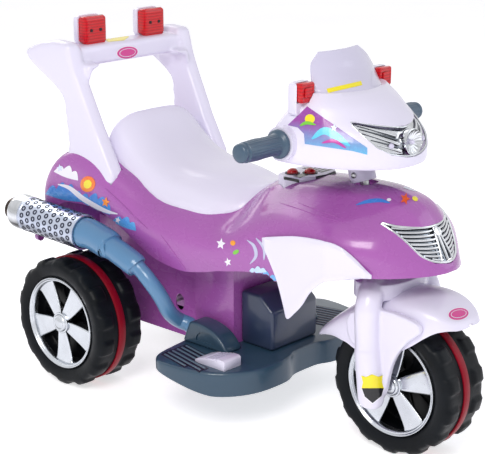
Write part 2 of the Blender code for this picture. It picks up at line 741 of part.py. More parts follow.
def exhaust_boot(side, sign, parent):
    """The arched cover on the footboard that the pipe runs into."""
    x_range = sorted((sign * BOOT_INNER_X, sign * BOOT_OUTER_X))
    boot = make_object(f"exhaust_boot_{side}", prism(boot_outline(0.0), 0, *x_range), "grey_blue_plastic", parent)
    inner_range = (x_range[0] + WALL, x_range[1] - WALL)
    cut(boot, make_guide(f"guide_boot_hollow_{side}", prism(boot_outline(WALL), 0, *inner_range), parent))


# Footboard from above: x and y of its right half, from the middle front round to the middle rear
BOARD_HALF = ((0.0, -0.163), (0.035, -0.165), (0.072, -0.178), (0.140, -0.176), (0.188, -0.156), (0.220, -0.122),
              (0.236, -0.080), (0.242, -0.020), (0.232, 0.006), (0.205, 0.022), (0.130, 0.034), (0.100, 0.0455),
              (0.0, 0.0455))


def board_hem_z(y):
    """The skirt is deep at the front and shallow behind."""
    return value_between(((-0.125, BOARD_FRONT_HEM_Z), (0.0, BOARD_REAR_HEM_Z), (0.05, BOARD_REAR_HEM_Z)), y, 1)


def board_ring(inset, z=None):
    middle = Vector((0.0, -0.065))
    points = mirrored([Vector(point) for point in BOARD_HALF])
    ring = []
    for point in points:
        pull = Vector((math.copysign(inset, point.x) if abs(point.x) > 0.01 else 0.0,
                       math.copysign(inset, point.y - middle.y)))
        x, y = point.x - pull.x, point.y - pull.y
        ring.append(Vector((x, y, board_hem_z(point.y) if z is None else z)))
    return ring


def footboard(parent):
    """The ribbed footboard: one tray-shaped moulding, open below, with the pedal's opening."""
    rings = [board_ring(0.004, BOARD_TOP_Z), board_ring(0.0, BOARD_TOP_Z - 0.004), board_ring(0.0),
             board_ring(WALL), board_ring(WALL, BOARD_TOP_Z - WALL)]
    board = make_object("footboard", loft(rings), "grey_blue_plastic", parent)
    for side, sign in (("right", -1), ("left", 1)):
        for index in range(BOARD_RIB_COUNT):
            x = sign * (0.152 + 0.0125 * index)
            low = (x - 0.002, -0.050, BOARD_TOP_Z - 0.0012)
            high = (x + 0.002, 0.006, BOARD_TOP_Z + 0.002)
            cut(board, make_guide(f"guide_rib_{side}_{index}", box(low, high), parent))
    play = PEDAL_PLAY
    low = (PEDAL_X - PEDAL_WIDTH / 2 - play, PEDAL_REAR_Y - PEDAL_LENGTH - play, BOARD_TOP_Z - 0.01)
    high = (PEDAL_X + PEDAL_WIDTH / 2 + play, PEDAL_REAR_Y + play, BOARD_TOP_Z + 0.01)
    cut(board, make_guide("guide_pedal_opening", box(low, high), parent))
    return board


def battery_box(parent):
    """The console between the feet; the battery stands inside it."""
    def outline(inset, bottom):
        front, rear, top = BATTERY_BOX_FRONT_Y + inset, BATTERY_BOX_REAR_Y - inset, BATTERY_BOX_TOP_Z - inset
        return ((front, bottom), (front, top - 0.028), (front + 0.033, top), (rear, top), (rear, bottom))
    half = BATTERY_BOX_HALF_WIDTH
    bottom = BOARD_TOP_Z + GAP
    console = make_object("battery_box", prism(outline(0.0, bottom), 0, -half, half), "grey_blue_plastic", parent)
    inner = half - 0.0025
    cut(console, make_guide("guide_box_hollow", prism(outline(0.0025, bottom - 0.01), 0, -inner, inner), parent))
    width, depth, height = BATTERY_SIZE
    rear = BATTERY_BOX_REAR_Y - 0.0025 - 0.001
    cell = box((-width / 2, rear - depth, bottom), (width / 2, rear, bottom + height))
    make_object("battery", cell, "black_plastic", parent)


def underframe(parent):
    """The pink pedestal under the body: wide over the footboard, narrow between the rear wheels."""
    front = BATTERY_BOX_REAR_Y + GAP

    def outline(inset):
        wide, narrow = FRAME_WIDE_HALF - inset, FRAME_NARROW_HALF - inset
        half = [(wide, front + inset), (wide, FRAME_STEP_Y - inset), (narrow, FRAME_STEP_Y + 0.010),
                (narrow, FRAME_REAR_Y - inset)]
        return half + [(-x, y) for x, y in reversed(half)]
    frame = make_object("underframe", prism(outline(0.0), 2, FRAME_BOTTOM_Z, FRAME_TOP_Z), "pink_plastic", parent)
    window = closed_oval((0.112, 0.168), 0.0125, 0.017)
    cut(frame, make_guide("guide_frame_window", prism(window, 0, -0.2, 0.2), parent))
    axle = rod((-0.2, REAR_AXLE_Y, AXLE_Z), (0.2, REAR_AXLE_Y, AXLE_Z), AXLE_RADIUS + GAP)
    cut(frame, make_guide("guide_axle_hole", axle, parent))
    y, z = motor_place()
    cut(frame, make_guide("guide_motor_hole", rod((0.0, y, z), (0.2, y, z), MOTOR_RADIUS + GAP), parent))
    hollow = prism(outline(WALL), 2, FRAME_BOTTOM_Z - 0.01, FRAME_TOP_Z - WALL)
    cut(frame, make_guide("guide_frame_hollow", hollow, parent))
    step = box((-0.2, -0.2, 0.05), (0.2, FRAME_STEP_Y + GAP, BOARD_TOP_Z + GAP))
    cut(frame, make_guide("guide_frame_step", step, parent))
    return frame


def closed_oval(centre, half_width, half_height, segments=16):
    turns = [2.0 * math.pi * index / segments for index in range(segments)]
    return [(centre[0] + half_width * math.cos(t), centre[1] + half_height * math.sin(t)) for t in turns]


def motor_place():
    """The motor lies level with the rear axle, ahead of it by the gears' distance."""
    distance = GEAR_MODULE * (DRIVE_TEETH + PINION_TEETH) / 2
    return REAR_AXLE_Y - distance, AXLE_Z


def drive(chassis, left_wheel):
    """Motor, gearbox and gears beside the left rear wheel."""
    motor_y, motor_z = motor_place()
    case_x = GEARBOX_INNER_X
    far_x = case_x + GEARBOX_DEPTH
    outline = gearbox_outline(0.0)
    case = make_object("gearbox_case", prism(outline, 0, case_x, far_x - 0.003), "black_plastic", chassis)
    cut(case, make_guide("guide_case_hollow", prism(gearbox_outline(0.003), 0, case_x + 0.003, far_x), chassis))
    axle_hole = rod((0.0, REAR_AXLE_Y, AXLE_Z), (0.2, REAR_AXLE_Y, AXLE_Z), AXLE_RADIUS + GAP)
    cut(case, make_guide("guide_case_axle", axle_hole, chassis))
    shaft_hole = rod((0.0, motor_y, motor_z), (case_x + 0.01, motor_y, motor_z), 0.0045)
    cut(case, make_guide("guide_case_shaft", shaft_hole, chassis))
    cover = make_object("gearbox_cover", prism(outline, 0, far_x - 0.003 + GAP, far_x), "black_plastic", chassis)
    boss_hole = rod((case_x, REAR_AXLE_Y, AXLE_Z), (0.2, REAR_AXLE_Y, AXLE_Z), 0.0125)
    cut(cover, make_guide("guide_cover_boss", boss_hole, chassis))
    motor_end = case_x - GAP
    motor = rod((motor_end - MOTOR_LENGTH, motor_y, motor_z), (motor_end, motor_y, motor_z), MOTOR_RADIUS)
    motor_object = make_object("motor", motor, "steel", chassis)
    end_hole = rod((motor_end - 0.006, motor_y, motor_z), (motor_end + 0.01, motor_y, motor_z), 0.0045)
    cut(motor_object, make_guide("guide_motor_end", end_hole, chassis))
    gear_x = case_x + 0.010
    wheel_axis = (0.0, REAR_AXLE_Y, AXLE_Z)
    hub_start = REAR_TRACK / 2 - TYRE_WIDTH / 2 + 0.002
    gear = gear_solid(DRIVE_TEETH, gear_x, wheel_axis, math.pi / DRIVE_TEETH)
    drive_gear = make_object("drive_gear", gear, "nylon", left_wheel, wheel_axis)
    boss = rod((gear_x, *wheel_axis[1:]), (hub_start - GAP, *wheel_axis[1:]), 0.012)
    join(drive_gear, make_guide("guide_gear_boss", boss, chassis))
    bore = rod((0.0, *wheel_axis[1:]), (0.3, *wheel_axis[1:]), AXLE_RADIUS + AXLE_PLAY)
    cut(drive_gear, make_guide("guide_gear_bore", bore, chassis))
    pinion_axis = make_empty("motor_axis", (0.0, motor_y, motor_z), chassis)
    pinion = gear_solid(PINION_TEETH, gear_x, (0.0, motor_y, motor_z), 0.0)
    pinion_object = make_object("motor_pinion", pinion, "steel", pinion_axis, (0.0, motor_y, motor_z))
    shaft = rod((motor_end - 0.004, motor_y, motor_z), (gear_x + 0.001, motor_y, motor_z), 0.003, 12)
    join(pinion_object, make_guide("guide_pinion_shaft", shaft, chassis))


def gearbox_outline(inset):
    """Round the drive gear at the axle and round the pinion ahead of it."""
    motor_y, motor_z = motor_place()
    large, small = 0.0400 - inset, 0.0195 - inset
    points = []
    for index in range(13):
        turn = math.radians(-105.0 + 210.0 * index / 12)
        points.append((REAR_AXLE_Y + large * math.cos(turn), AXLE_Z + large * math.sin(turn)))
    for index in range(9):
        turn = math.radians(105.0 + 150.0 * index / 8)
        points.append((motor_y + small * math.cos(turn), motor_z + small * math.sin(turn)))
    return points


def gear_solid(teeth, x, centre, turn):
    """A spur gear with straight-flanked teeth, thin enough to run with play."""
    pitch_radius = GEAR_MODULE * teeth / 2
    tip, root = pitch_radius + 0.8 * GEAR_MODULE, pitch_radius - 1.15 * GEAR_MODULE
    pitch_angle = 2.0 * math.pi / teeth
    root_half, tip_half = 0.5 * (1.0 - GEAR_BACKLASH) * 0.62, 0.5 * (1.0 - GEAR_BACKLASH) * 0.34
    outline = []
    for index in range(teeth):
        middle = turn + index * pitch_angle
        for radius, share in ((root, -root_half), (tip, -tip_half), (tip, tip_half), (root, root_half)):
            angle = middle + share * pitch_angle
            outline.append((centre[1] + radius * math.cos(angle), centre[2] + radius * math.sin(angle)))
    return prism(outline, 0, x, x + GEAR_WIDTH)


def wheel(name, centre_x, axis_y, parent, outer_sides, phase=0.0):
    """Tyre, red band and five-spoke rim round one axle; at no phase one spoke points straight down."""
    centre = (centre_x, axis_y, AXLE_Z)
    make_object(f"{name}_tyre", tyre_mesh(centre), "black_tyre", parent, centre)
    half = BAND_WIDTH / 2
    low = TREAD_RADIUS + GAP
    band = closed_loft([[around_x(centre, along, radius, angle) for along, radius in
                         ((-half, low), (half, low), (half, low + BAND_HEIGHT), (-half, low + BAND_HEIGHT))]
                        for angle in lug_angles()])
    make_object(f"{name}_band", band, "red_band", parent, centre)
    rim = make_object(f"{name}_rim", rim_mesh(centre, outer_sides), "chrome", parent, centre)
    for index in range(SPOKE_COUNT):
        cut(rim, make_guide(f"guide_{name}_opening_{index}", rim_opening(centre, index, phase), parent))


def lug_angles():
    """Three columns for each lug: its two edges and the valley behind it."""
    angles = []
    pitch = 2.0 * math.pi / LUG_COUNT
    for index in range(LUG_COUNT):
        middle = index * pitch
        angles += [middle - LUG_HALF_ANGLE, middle + LUG_HALF_ANGLE, middle + pitch / 2]
    return angles


def tyre_mesh(centre):
    """A ring with lugs at both shoulders; the lowest lug stands flat on the floor."""
    half = TYRE_WIDTH / 2
    rim_gap = RIM_RADIUS + GAP
    lug_radius = TYRE_RADIUS / math.cos(LUG_HALF_ANGLE)
    valley = LUG_INNER_X - LUG_SLOPE
    rings = []
    for index, angle in enumerate(lug_angles()):
        shoulder = lug_radius if index % 3 < 2 else TREAD_RADIUS
        profile = [
            (-half + SIDEWALL_CURVE, rim_gap), (-half, SHOULDER_RADIUS), (-half + SHOULDER_ROUND, shoulder),
            (-LUG_INNER_X, shoulder), (-valley, TREAD_RADIUS), (valley, TREAD_RADIUS), (LUG_INNER_X, shoulder),
            (half - SHOULDER_ROUND, shoulder), (half, SHOULDER_RADIUS), (half - SIDEWALL_CURVE, rim_gap),
        ]
        rings.append([around_x(centre, along, radius, angle) for along, radius in profile])
    return closed_loft(rings)


def rim_mesh(centre, outer_sides):
    """Barrel, hub and one or two spoked faces, turned as one profile before the openings are cut."""
    half = TYRE_WIDTH / 2 - 0.002
    face = half - RIM_DISC_INSET
    inner = RIM_RADIUS - RIM_WALL
    bore = AXLE_RADIUS + AXLE_PLAY

    def side(sign, spoked):
        if spoked:
            return [(sign * half, RIM_RADIUS), (sign * half, inner), (sign * face, inner - 0.004),
                    (sign * face, HUBCAP_RADIUS), (sign * (half - 0.002), HUBCAP_RADIUS - 0.003),
                    (sign * (half - 0.002), bore)]
        return [(sign * half, RIM_RADIUS), (sign * half, inner), (face - RIM_DISC_THICKNESS, inner),
                (face - RIM_DISC_THICKNESS, HUB_RADIUS), (sign * half, HUB_RADIUS), (sign * half, bore)]
    flip = -1 if outer_sides == (-1,) else 1
    if len(outer_sides) == 2:
        profile = side(1, True) + list(reversed(side(-1, True)))
    else:
        profile = side(1, True) + list(reversed(side(-1, False)))
    return turned([(flip * along, radius) for along, radius in profile], centre, RIM_SEGMENTS, RIM_TURN)


def rim_opening(centre, index, phase):
    """One opening between two spokes, cut right through the wheel."""
    middle = phase + 2.0 * math.pi * (index + 0.5) / SPOKE_COUNT
    points = []
    for radius, half_angle in ((0.027, 0.30), (0.050, 0.36), (0.076, 0.34)):
        points.append((radius, -half_angle))
    points += [(0.084, -0.22), (0.0855, 0.0), (0.084, 0.22)]
    for radius, half_angle in ((0.076, 0.34), (0.050, 0.36), (0.027, 0.30)):
        points.append((radius, half_angle))
    half = TYRE_WIDTH
    low = [around_x(centre, -half, radius, middle + turn) for radius, turn in points]
    high = [around_x(centre, half, radius, middle + turn) for radius, turn in points]
    return loft([low, high])


def steer_point(z):
    """The point of the steering axis at a height."""
    return Vector((0.0, STEER_PIVOT_Y + (z - STEER_PIVOT_Z) * math.tan(RAKE), z))


def fork_leg(sign, room=0.0):
    """One fork leg, from its foot round the axle up to the crown; the room makes it thicker."""
    x, y, z = FORK_LEG_X, FRONT_AXLE_Y, AXLE_Z
    crown = steer_point(STEM_BOTTOM_Z)
    radius = FORK_LEG_RADIUS
    path = (
        (x, y + 0.006, z - 0.034, radius * 0.35), (x, y + 0.004, z - 0.028, radius * 0.85),
        (x, y, z - 0.010, radius * 1.04), (x, y + 0.006, z + 0.030, radius * 1.08),
        (x, y + 0.018, z + 0.077, radius * 1.04), (x, y + 0.018, z + 0.080, radius * 0.96),
        (x, y + 0.028, z + 0.130, radius * 0.96), (x - 0.006, y + 0.034, z + 0.158, radius * 0.95),
        (x - 0.026, y + 0.042, z + 0.180, radius * 0.85), (0.030, crown.y, crown.z - 0.006, radius * 0.70),
        (-0.004, crown.y, crown.z - 0.006, radius * 0.60),
    )
    return stepped_tube([(sign * px, py, pz, size + room) for px, py, pz, size in path])


# Fork webs, beside the wheel: y and z from the axle, round the outline
FORK_WEB_OUTLINE = ((-0.0523, 0.0973), (-0.0256, 0.0449), (-0.0141, -0.0091), (0.0050, -0.0250), (0.0250, -0.0100),
                    (0.0380, 0.0500), (0.0560, 0.0900), (0.0500, 0.1250), (-0.0050, 0.1300))
FORK_WEB_THICKNESS = 0.010
FORK_WEB_GAP = 0.003


def fork_web(sign):
    """The flat web that closes one side of the fork, outside the fender."""
    inner = max(station[4] for station in FENDER_STATIONS) + FORK_WEB_GAP
    outline = [(FRONT_AXLE_Y + y, AXLE_Z + z) for y, z in FORK_WEB_OUTLINE]
    return prism(outline, 0, *sorted((sign * inner, sign * (inner + FORK_WEB_THICKNESS))))


def fork(parent):
    """The moulded fork: two legs that bend in to a crown under the nose, with a web beside each."""
    body = make_object("fork", fork_leg(-1), "white_plastic", parent, steer_origin())
    join(body, make_guide("guide_left_fork_leg", fork_leg(1), parent))
    for side, sign in (("right", -1), ("left", 1)):
        join(body, make_guide(f"guide_fork_web_{side}", fork_web(sign), parent))
    low, high = steer_point(STEM_BOTTOM_Z - 0.018), steer_point(STEM_BOTTOM_Z + 0.018)
    join(body, make_guide("guide_crown", rod(low, high, CROWN_RADIUS), parent))
    reach = (0.2, FRONT_AXLE_Y, AXLE_Z)
    hole = rod((-reach[0], *reach[1:]), reach, AXLE_RADIUS + GAP, 12)
    cut(body, make_guide("guide_fork_axle", hole, parent))
    pocket = rod(steer_point(STEM_BOTTOM_Z - GAP), steer_point(STEM_TOP_Z), STEM_RADIUS + GAP)
    cut(body, make_guide("guide_stem_pocket", pocket, parent))
    return body


def steer_origin():
    return (0.0, STEER_PIVOT_Y, STEER_PIVOT_Z)


# Front fender: for its crest and then its edge, degrees ahead of straight up and distance beyond the
# tread; and its half width
FENDER_STATIONS = (
    (-76.0, 0.0570, -71.0, 0.0380, 0.040), (-71.5, 0.0535, -62.5, 0.0100, 0.058),
    (-63.1, 0.0445, -58.0, -0.0050, 0.067), (-48.6, 0.0334, -53.0, -0.0230, 0.070),
    (-31.3, 0.0291, -46.8, -0.0468, 0.071), (-15.4, 0.0307, -16.3, -0.0675, 0.071),
    (-0.9, 0.0350, 17.1, -0.0536, 0.071), (11.0, 0.0401, 29.7, -0.0241, 0.071),
    (20.5, 0.0451, 34.5, 0.0048, 0.068), (28.5, 0.0487, 37.6, 0.0265, 0.060),
    (34.5, 0.0508, 40.3, 0.0391, 0.046), (38.6, 0.0517, 43.2, 0.0429, 0.029),
)
FENDER_WALL = 0.0028
# Share of the half width and share of the way from the crest down to the edge
FENDER_SECTION = ((0.0, 0.0), (0.45, 0.03), (0.80, 0.14), (0.96, 0.38), (1.0, 1.0))


def beyond_tyre(degrees, distance):
    """A point round the front axle, by its angle ahead of straight up and its distance beyond the tyre."""
    turn = math.radians(degrees)
    radius = TYRE_RADIUS + distance
    return Vector((0.0, FRONT_AXLE_Y - radius * math.sin(turn), AXLE_Z + radius * math.cos(turn)))


def fender_ring(station):
    """A closed section across the wheel: over the outside, and back along the inside."""
    crest = beyond_tyre(station[0], station[1])
    edge = beyond_tyre(station[2], station[3])
    half_width = station[4]
    outer = [crest.lerp(edge, down) + Vector((out * half_width, 0.0, 0.0)) for out, down in FENDER_SECTION]
    inwards = (edge - crest).normalized() * FENDER_WALL
    inner = [crest.lerp(edge, down) + inwards * (1.0 - down) + Vector((out * (half_width - FENDER_WALL), 0.0, 0.0))
             for out, down in FENDER_SECTION]
    return over_and_back(outer) + list(reversed(over_and_back(inner)))


def over_and_back(half):
    """An open arch from the left edge over the middle to the right edge."""
    return [Vector((-point.x, point.y, point.z)) for point in reversed(half[1:])] + list(half)


def front_fender(parent):
    """The front fender: one arched skin, let in round the fork's legs."""
    rings = [fender_ring(station) for station in FENDER_STATIONS]
    fender = make_object("front_fender", loft(rings), "white_plastic", parent, steer_origin())
    for side, sign in (("right", -1), ("left", 1)):
        cut(fender, make_guide(f"guide_fork_room_{side}", fork_leg(sign, 2 * GAP), parent))
    return fender


def stem_parts(parent):
    """Steel stem, bush collar above the body, and the bracket that holds the bar."""
    stem = rod(steer_point(STEM_BOTTOM_Z), steer_point(STEM_TOP_Z), STEM_RADIUS, 16)
    make_object("steering_stem", stem, "steel", parent, steer_origin())
    start, end = steer_point(0.4745), steer_point(0.534)
    collar = closed_loft(tube_rings(start, end, COLLAR_RADIUS, STEM_RADIUS + GAP))
    collar_object = make_object("stem_collar", collar, "white_plastic", parent, steer_origin())
    middle = steer_point(0.4880)
    bolt_hole = rod(middle + Vector((-0.03, 0, 0)), middle + Vector((-STEM_RADIUS - 0.002, 0, 0)), 0.0035, 12)
    cut(collar_object, make_guide("guide_bolt_hole", bolt_hole, parent))
    start_x = -COLLAR_RADIUS - 0.003
    bolt = stepped_tube([(start_x, middle.y, middle.z, 0.0045), (-COLLAR_RADIUS - GAP, middle.y, middle.z, 0.0055),
                         (-COLLAR_RADIUS - GAP + 1e-5, middle.y, middle.z, 0.0031),
                         (-STEM_RADIUS - 0.003, middle.y, middle.z, 0.0031)])
    make_object("collar_bolt", bolt, "steel", parent, steer_origin())


def handlebar(parent):
    """The bar through the cowl, its bracket on the stem, and the two grips."""
    bar = rod((-GRIP_OUTER_X + 0.006, BAR_Y, BAR_Z), (GRIP_OUTER_X - 0.006, BAR_Y, BAR_Z), BAR_RADIUS, 16)
    make_object("handlebar", bar, "steel", parent, steer_origin())
    stem_y = steer_point(BAR_Z).y
    block = box((-0.022, stem_y - 0.016, BAR_Z - 0.013), (0.022, BAR_Y + 0.018, BAR_Z + 0.013))
    clamp = make_object("bar_clamp", block, "black_plastic", parent, steer_origin())
    bar_space = rod((-0.1, BAR_Y, BAR_Z), (0.1, BAR_Y, BAR_Z), BAR_RADIUS + GAP, 16)
    cut(clamp, make_guide("guide_bar_space", bar_space, parent))
    stem_space = rod(steer_point(BAR_Z - 0.05), steer_point(BAR_Z + 0.05), STEM_RADIUS + GAP, 16)
    cut(clamp, make_guide("guide_stem_space", stem_space, parent))
    for side, sign in (("right", -1), ("left", 1)):
        make_object(f"grip_{side}", grip_mesh(sign), "grey_blue_plastic", parent, steer_origin())


def grip_mesh(sign):
    """A ribbed grip with an inner flange, closed at its outer end."""
    start = Vector((sign * GRIP_INNER_X, BAR_Y, BAR_Z))
    along = Vector((sign, 0.0, 0.0))
    length = GRIP_OUTER_X - GRIP_INNER_X
    bore = BAR_RADIUS + GAP
    profile = [
        (0.0, bore), (0.0, GRIP_FLANGE_RADIUS - 0.001), (0.002, GRIP_FLANGE_RADIUS), (0.007, GRIP_FLANGE_RADIUS),
        (0.010, GRIP_RADIUS + 0.001), (0.040, GRIP_RADIUS), (0.060, GRIP_RADIUS + 0.0012),
        (0.080, GRIP_RADIUS), (length - 0.014, GRIP_RADIUS + 0.0008), (length - 0.011, GRIP_RADIUS - 0.0018),
        (length - 0.003, GRIP_RADIUS - 0.001), (length, GRIP_RADIUS - 0.004),
    ]
    rings = [ring_at(start + along * distance, along, radius, 16) for distance, radius in profile]
    rings += [ring_at(start + along * (length - 0.005), along, bore, 16)]
    bm = bmesh.new()
    rows = [[bm.verts.new(point) for point in ring] for ring in rings]
    for row, after in list(zip(rows[:-1], rows[1:-1] + [rows[0]]))[:-1]:
        quad_strip(bm, row, after)
    bm.faces.new(rows[-2])
    quad_strip(bm, rows[0], rows[-1])
    bm.faces.new(rows[-1])
    return bm


def quad_strip(bm, row, after):
    for index, vertex in enumerate(row):
        follower = (index + 1) % len(row)
        bm.faces.new((vertex, row[follower], after[follower], after[index]))


# Cowl plan: share of the half width and share of the way from its back to its nose
COWL_PLAN = ((0.0, 1.0), (0.25, 0.977), (0.47, 0.905), (0.71, 0.745), (0.90, 0.530), (0.995, 0.250),
             (0.975, 0.050), (0.86, 0.0), (0.0, 0.0))
# Cowl levels: height, half width, back y and nose y
COWL_LEVELS = (
    (0.519, 0.132, -0.186, -0.4000), (0.530, 0.137, -0.184, -0.4020), (0.560, 0.138, -0.184, -0.4000),
    (0.578, 0.133, -0.189, -0.3880), (0.592, 0.127, -0.197, -0.3720), (0.606, 0.120, -0.206, -0.3540),
    (0.622, 0.112, -0.215, -0.3340), (0.640, 0.100, -0.224, -0.3030),
)


def cowl_ring(level, inset, z=None):
    height, half_width, back, nose = level
    width = half_width - inset
    length = (back - inset) - (nose + inset)
    half = [Vector((u * width, back - inset - v * length, height if z is None else z)) for u, v in COWL_PLAN]
    return mirrored(half)


def cowl(parent):
    """The handlebar cowl: a hollow moulding, open below, with lamp housings and bar bosses."""
    shell = make_object("cowl", loft([cowl_ring(level, 0.0) for level in COWL_LEVELS]), "white_plastic",
                        parent, steer_origin())
    width, depth, height = COWL_LAMP_SIZE
    for side, sign in (("right", -1), ("left", 1)):
        x = sign * COWL_LAMP_X
        low = (x - width / 2 - 0.002, COWL_LAMP_FRONT_Y + 0.004, COWL_LAMP_TOP_Z - height - 0.022)
        high = (x + width / 2 + 0.002, COWL_LAMP_FRONT_Y + depth + 0.017, COWL_LAMP_TOP_Z + 0.001)
        housing = make_guide(f"guide_lamp_housing_{side}", box(low, high), parent)
        add_bevel(housing, 0.003, 1)
        join(shell, housing)
        boss = rod((sign * 0.10, BAR_Y, BAR_Z), (sign * (GRIP_INNER_X - 0.001), BAR_Y, BAR_Z), 0.030, 20)
        join(shell, make_guide(f"guide_bar_boss_{side}", boss, parent))
    inner_levels = [cowl_ring(level, WALL) for level in COWL_LEVELS[:-1]]
    inner_levels[0] = cowl_ring(COWL_LEVELS[0], WALL, COWL_LEVELS[0][0] - 0.01)
    inner_levels.append(cowl_ring(COWL_LEVELS[-1], WALL, COWL_LEVELS[-1][0] - WALL))
    cut(shell, make_guide("guide_cowl_hollow", loft(inner_levels), parent))
    bar_space = rod((-0.3, BAR_Y, BAR_Z), (0.3, BAR_Y, BAR_Z), BAR_RADIUS + GAP, 16)
    cut(shell, make_guide("guide_cowl_bar", bar_space, parent))
    eye = prism(eye_outline(0.0), 1, -0.45, EYE_REAR_Y)
    cut(shell, make_guide("guide_eye", eye, parent))
    cowl_lamps(shell, parent)
    return shell


def cowl_lamps(shell, parent):
    """Red lamp lenses set into their housings."""
    width, depth, height = COWL_LAMP_SIZE
    for side, sign in (("right", -1), ("left", 1)):
        x = sign * COWL_LAMP_X
        low = Vector((x - width / 2, COWL_LAMP_FRONT_Y, COWL_LAMP_TOP_Z - height))
        high = Vector((x + width / 2, COWL_LAMP_FRONT_Y + depth, COWL_LAMP_TOP_Z))
        room = Vector((GAP, GAP, GAP))
        cut(shell, make_guide(f"guide_lens_space_{side}", box(low - room, high + room), parent))
        lens = make_object(f"cowl_lamp_lens_{side}", box(low, high), "red_lens", parent, steer_origin())
        add_bevel(lens, 0.002)


# Headlamp eye from the front: x and z of its right half, from the middle top outwards
EYE_HALF = ((0.0, 0.5865), (0.024, 0.5885), (0.0635, 0.5945), (0.0955, 0.5997),
            (0.092, 0.575), (0.078, 0.558), (0.052, 0.545), (0.018, 0.537), (0.0, 0.536))
EYE_REAR_Y = -0.290


def eye_outline(inset):
    middle = Vector((0.0, 0.562))
    half = [Vector(point) for point in EYE_HALF]
    half = [point + (middle - point).normalized() * inset for point in half]
    half[0].x = 0.0
    half[-1].x = 0.0
    return half + [Vector((-point.x, point.y)) for point in reversed(half[1:-1])]


def headlight(parent):
    """The chromed reflector in the cowl's nose, following the cowl a little set in."""
    reflector = make_object("headlight_reflector", loft([cowl_ring(level, 0.0015) for level in COWL_LEVELS]),
                            "chrome", parent, steer_origin())
    edge = prism(eye_outline(0.0006), 1, -0.45, EYE_REAR_Y - 0.001)
    keep_inside(reflector, make_guide("guide_eye_edge", edge, parent))
    back = loft([cowl_ring(level, 0.0055) for level in COWL_LEVELS])
    cut(reflector, make_guide("guide_eye_back", back, parent))


# Windscreen: height, half width, y at the sides and y at the middle
SCREEN_LEVELS = ((0.6403, 0.0885, -0.2500, -0.2900), (0.664, 0.0865, -0.2420, -0.2720),
                 (0.687, 0.076, -0.2330, -0.2520), (0.7035, 0.054, -0.2300, -0.2380))


def windscreen(parent):
    """A bowed screen that narrows upwards to two corners."""
    rings = []
    for z, half_width, side_y, middle_y in SCREEN_LEVELS:
        shares = [-1.0, -0.75, -0.4, 0.0, 0.4, 0.75, 1.0]
        front = [Vector((s * half_width, middle_y + (side_y - middle_y) * s * s, z)) for s in shares]
        back = [point + Vector((0.0, SCREEN_THICKNESS, 0.0)) for point in reversed(front)]
        rings.append(front + back)
    make_object("windscreen", loft(rings), "white_plastic", parent, steer_origin())


# Dash from above: x and y of its right half, from the middle front outwards
DASH_HALF = ((0.0, -0.2095), (0.030, -0.206), (0.070, -0.166), (0.053, -0.137), (0.0, -0.130))


def dash_outline(inset):
    half = [Vector((x - inset if x > 0.0 else 0.0, y + (inset if y < -0.20 else -inset))) for x, y in DASH_HALF]
    return half + [Vector((-point.x, point.y)) for point in reversed(half[1:-1])]


def dash(parent):
    """The switch panel in front of the rider, with two push buttons on its right."""
    bottom = DASH_TOP_Z - DASH_HEIGHT
    panel = make_object("dash_panel", prism(dash_outline(0.0), 2, bottom, DASH_TOP_Z), "white_plastic", parent)
    hollow = prism(dash_outline(0.0025), 2, bottom - 0.01, DASH_TOP_Z - 0.0025)
    cut(panel, make_guide("guide_dash_hollow", hollow, parent))
    for name, x, y in BUTTON_PLACES:
        space = rod((x, y, bottom - 0.01), (x, y, DASH_TOP_Z + 0.01), BUTTON_RADIUS + 0.0005, 20)
        cut(panel, make_guide(f"guide_{name}", space, parent))
        slider = make_empty(f"{name}_axis", (x, y, DASH_TOP_Z), parent)
        shares = ((-0.8, 1.0), (0.1, 1.0), (0.5, 0.88), (0.8, 0.6), (0.95, 0.25))
        rings = [ring_at((x, y, DASH_TOP_Z + share * BUTTON_HEIGHT), (0, 0, 1), BUTTON_RADIUS * size, 20)
                 for share, size in shares]
        make_object(name, loft(rings), "red_lens", slider, (x, y, DASH_TOP_Z))
    add_weld(panel)


def pedal(parent):
    """The drive pedal on the right footboard, hinged at its rear end, and its switch."""
    hinge_z = BOARD_TOP_Z + 0.0015
    axis = make_empty("pedal_axis", (PEDAL_X, PEDAL_REAR_Y - 0.003, hinge_z), parent)
    rear, front = PEDAL_REAR_Y, PEDAL_REAR_Y - PEDAL_LENGTH
    outline = [(rear, BOARD_TOP_Z - 0.001), (rear, BOARD_TOP_Z + 0.005), (rear - 0.2 * PEDAL_LENGTH, BOARD_TOP_Z + 0.010),
               (front + 0.018, BOARD_TOP_Z + PEDAL_HEIGHT), (front + 0.004, BOARD_TOP_Z + PEDAL_HEIGHT),
               (front, BOARD_TOP_Z + PEDAL_HEIGHT - 0.003), (front, BOARD_TOP_Z - 0.001)]
    low, high = PEDAL_X - PEDAL_WIDTH / 2, PEDAL_X + PEDAL_WIDTH / 2
    plate = make_object("pedal", prism(outline, 0, low, high), "white_plastic", axis,
                        (PEDAL_X, PEDAL_REAR_Y - 0.003, hinge_z))
    for index in range(4):
        y = rear - 0.026 - 0.009 * index
        notch = box((low - 0.01, y - 0.0015, BOARD_TOP_Z + 0.0105 + 0.0015 * index), (high + 0.01, y + 0.0015, 0.2))
        cut(plate, make_guide(f"guide_pedal_notch_{index}", notch, parent))
    top = BOARD_TOP_Z - WALL - GAP
    switch = box((high + 0.003, front + 0.02, top - 0.017), (high + 0.019, front + 0.045, top))
    make_object("pedal_switch", switch, "black_plastic", parent)


def steering_bush(parent):
    """The tube inside the nose that the stem turns in."""
    start, end = steer_point(STEM_BOTTOM_Z + 0.020), steer_point(0.4640)
    inner = STEM_RADIUS + STEM_PLAY
    bush = closed_loft(tube_rings(start, end, inner + BUSH_WALL, inner))
    make_object("steering_bush", bush, "nylon", parent)


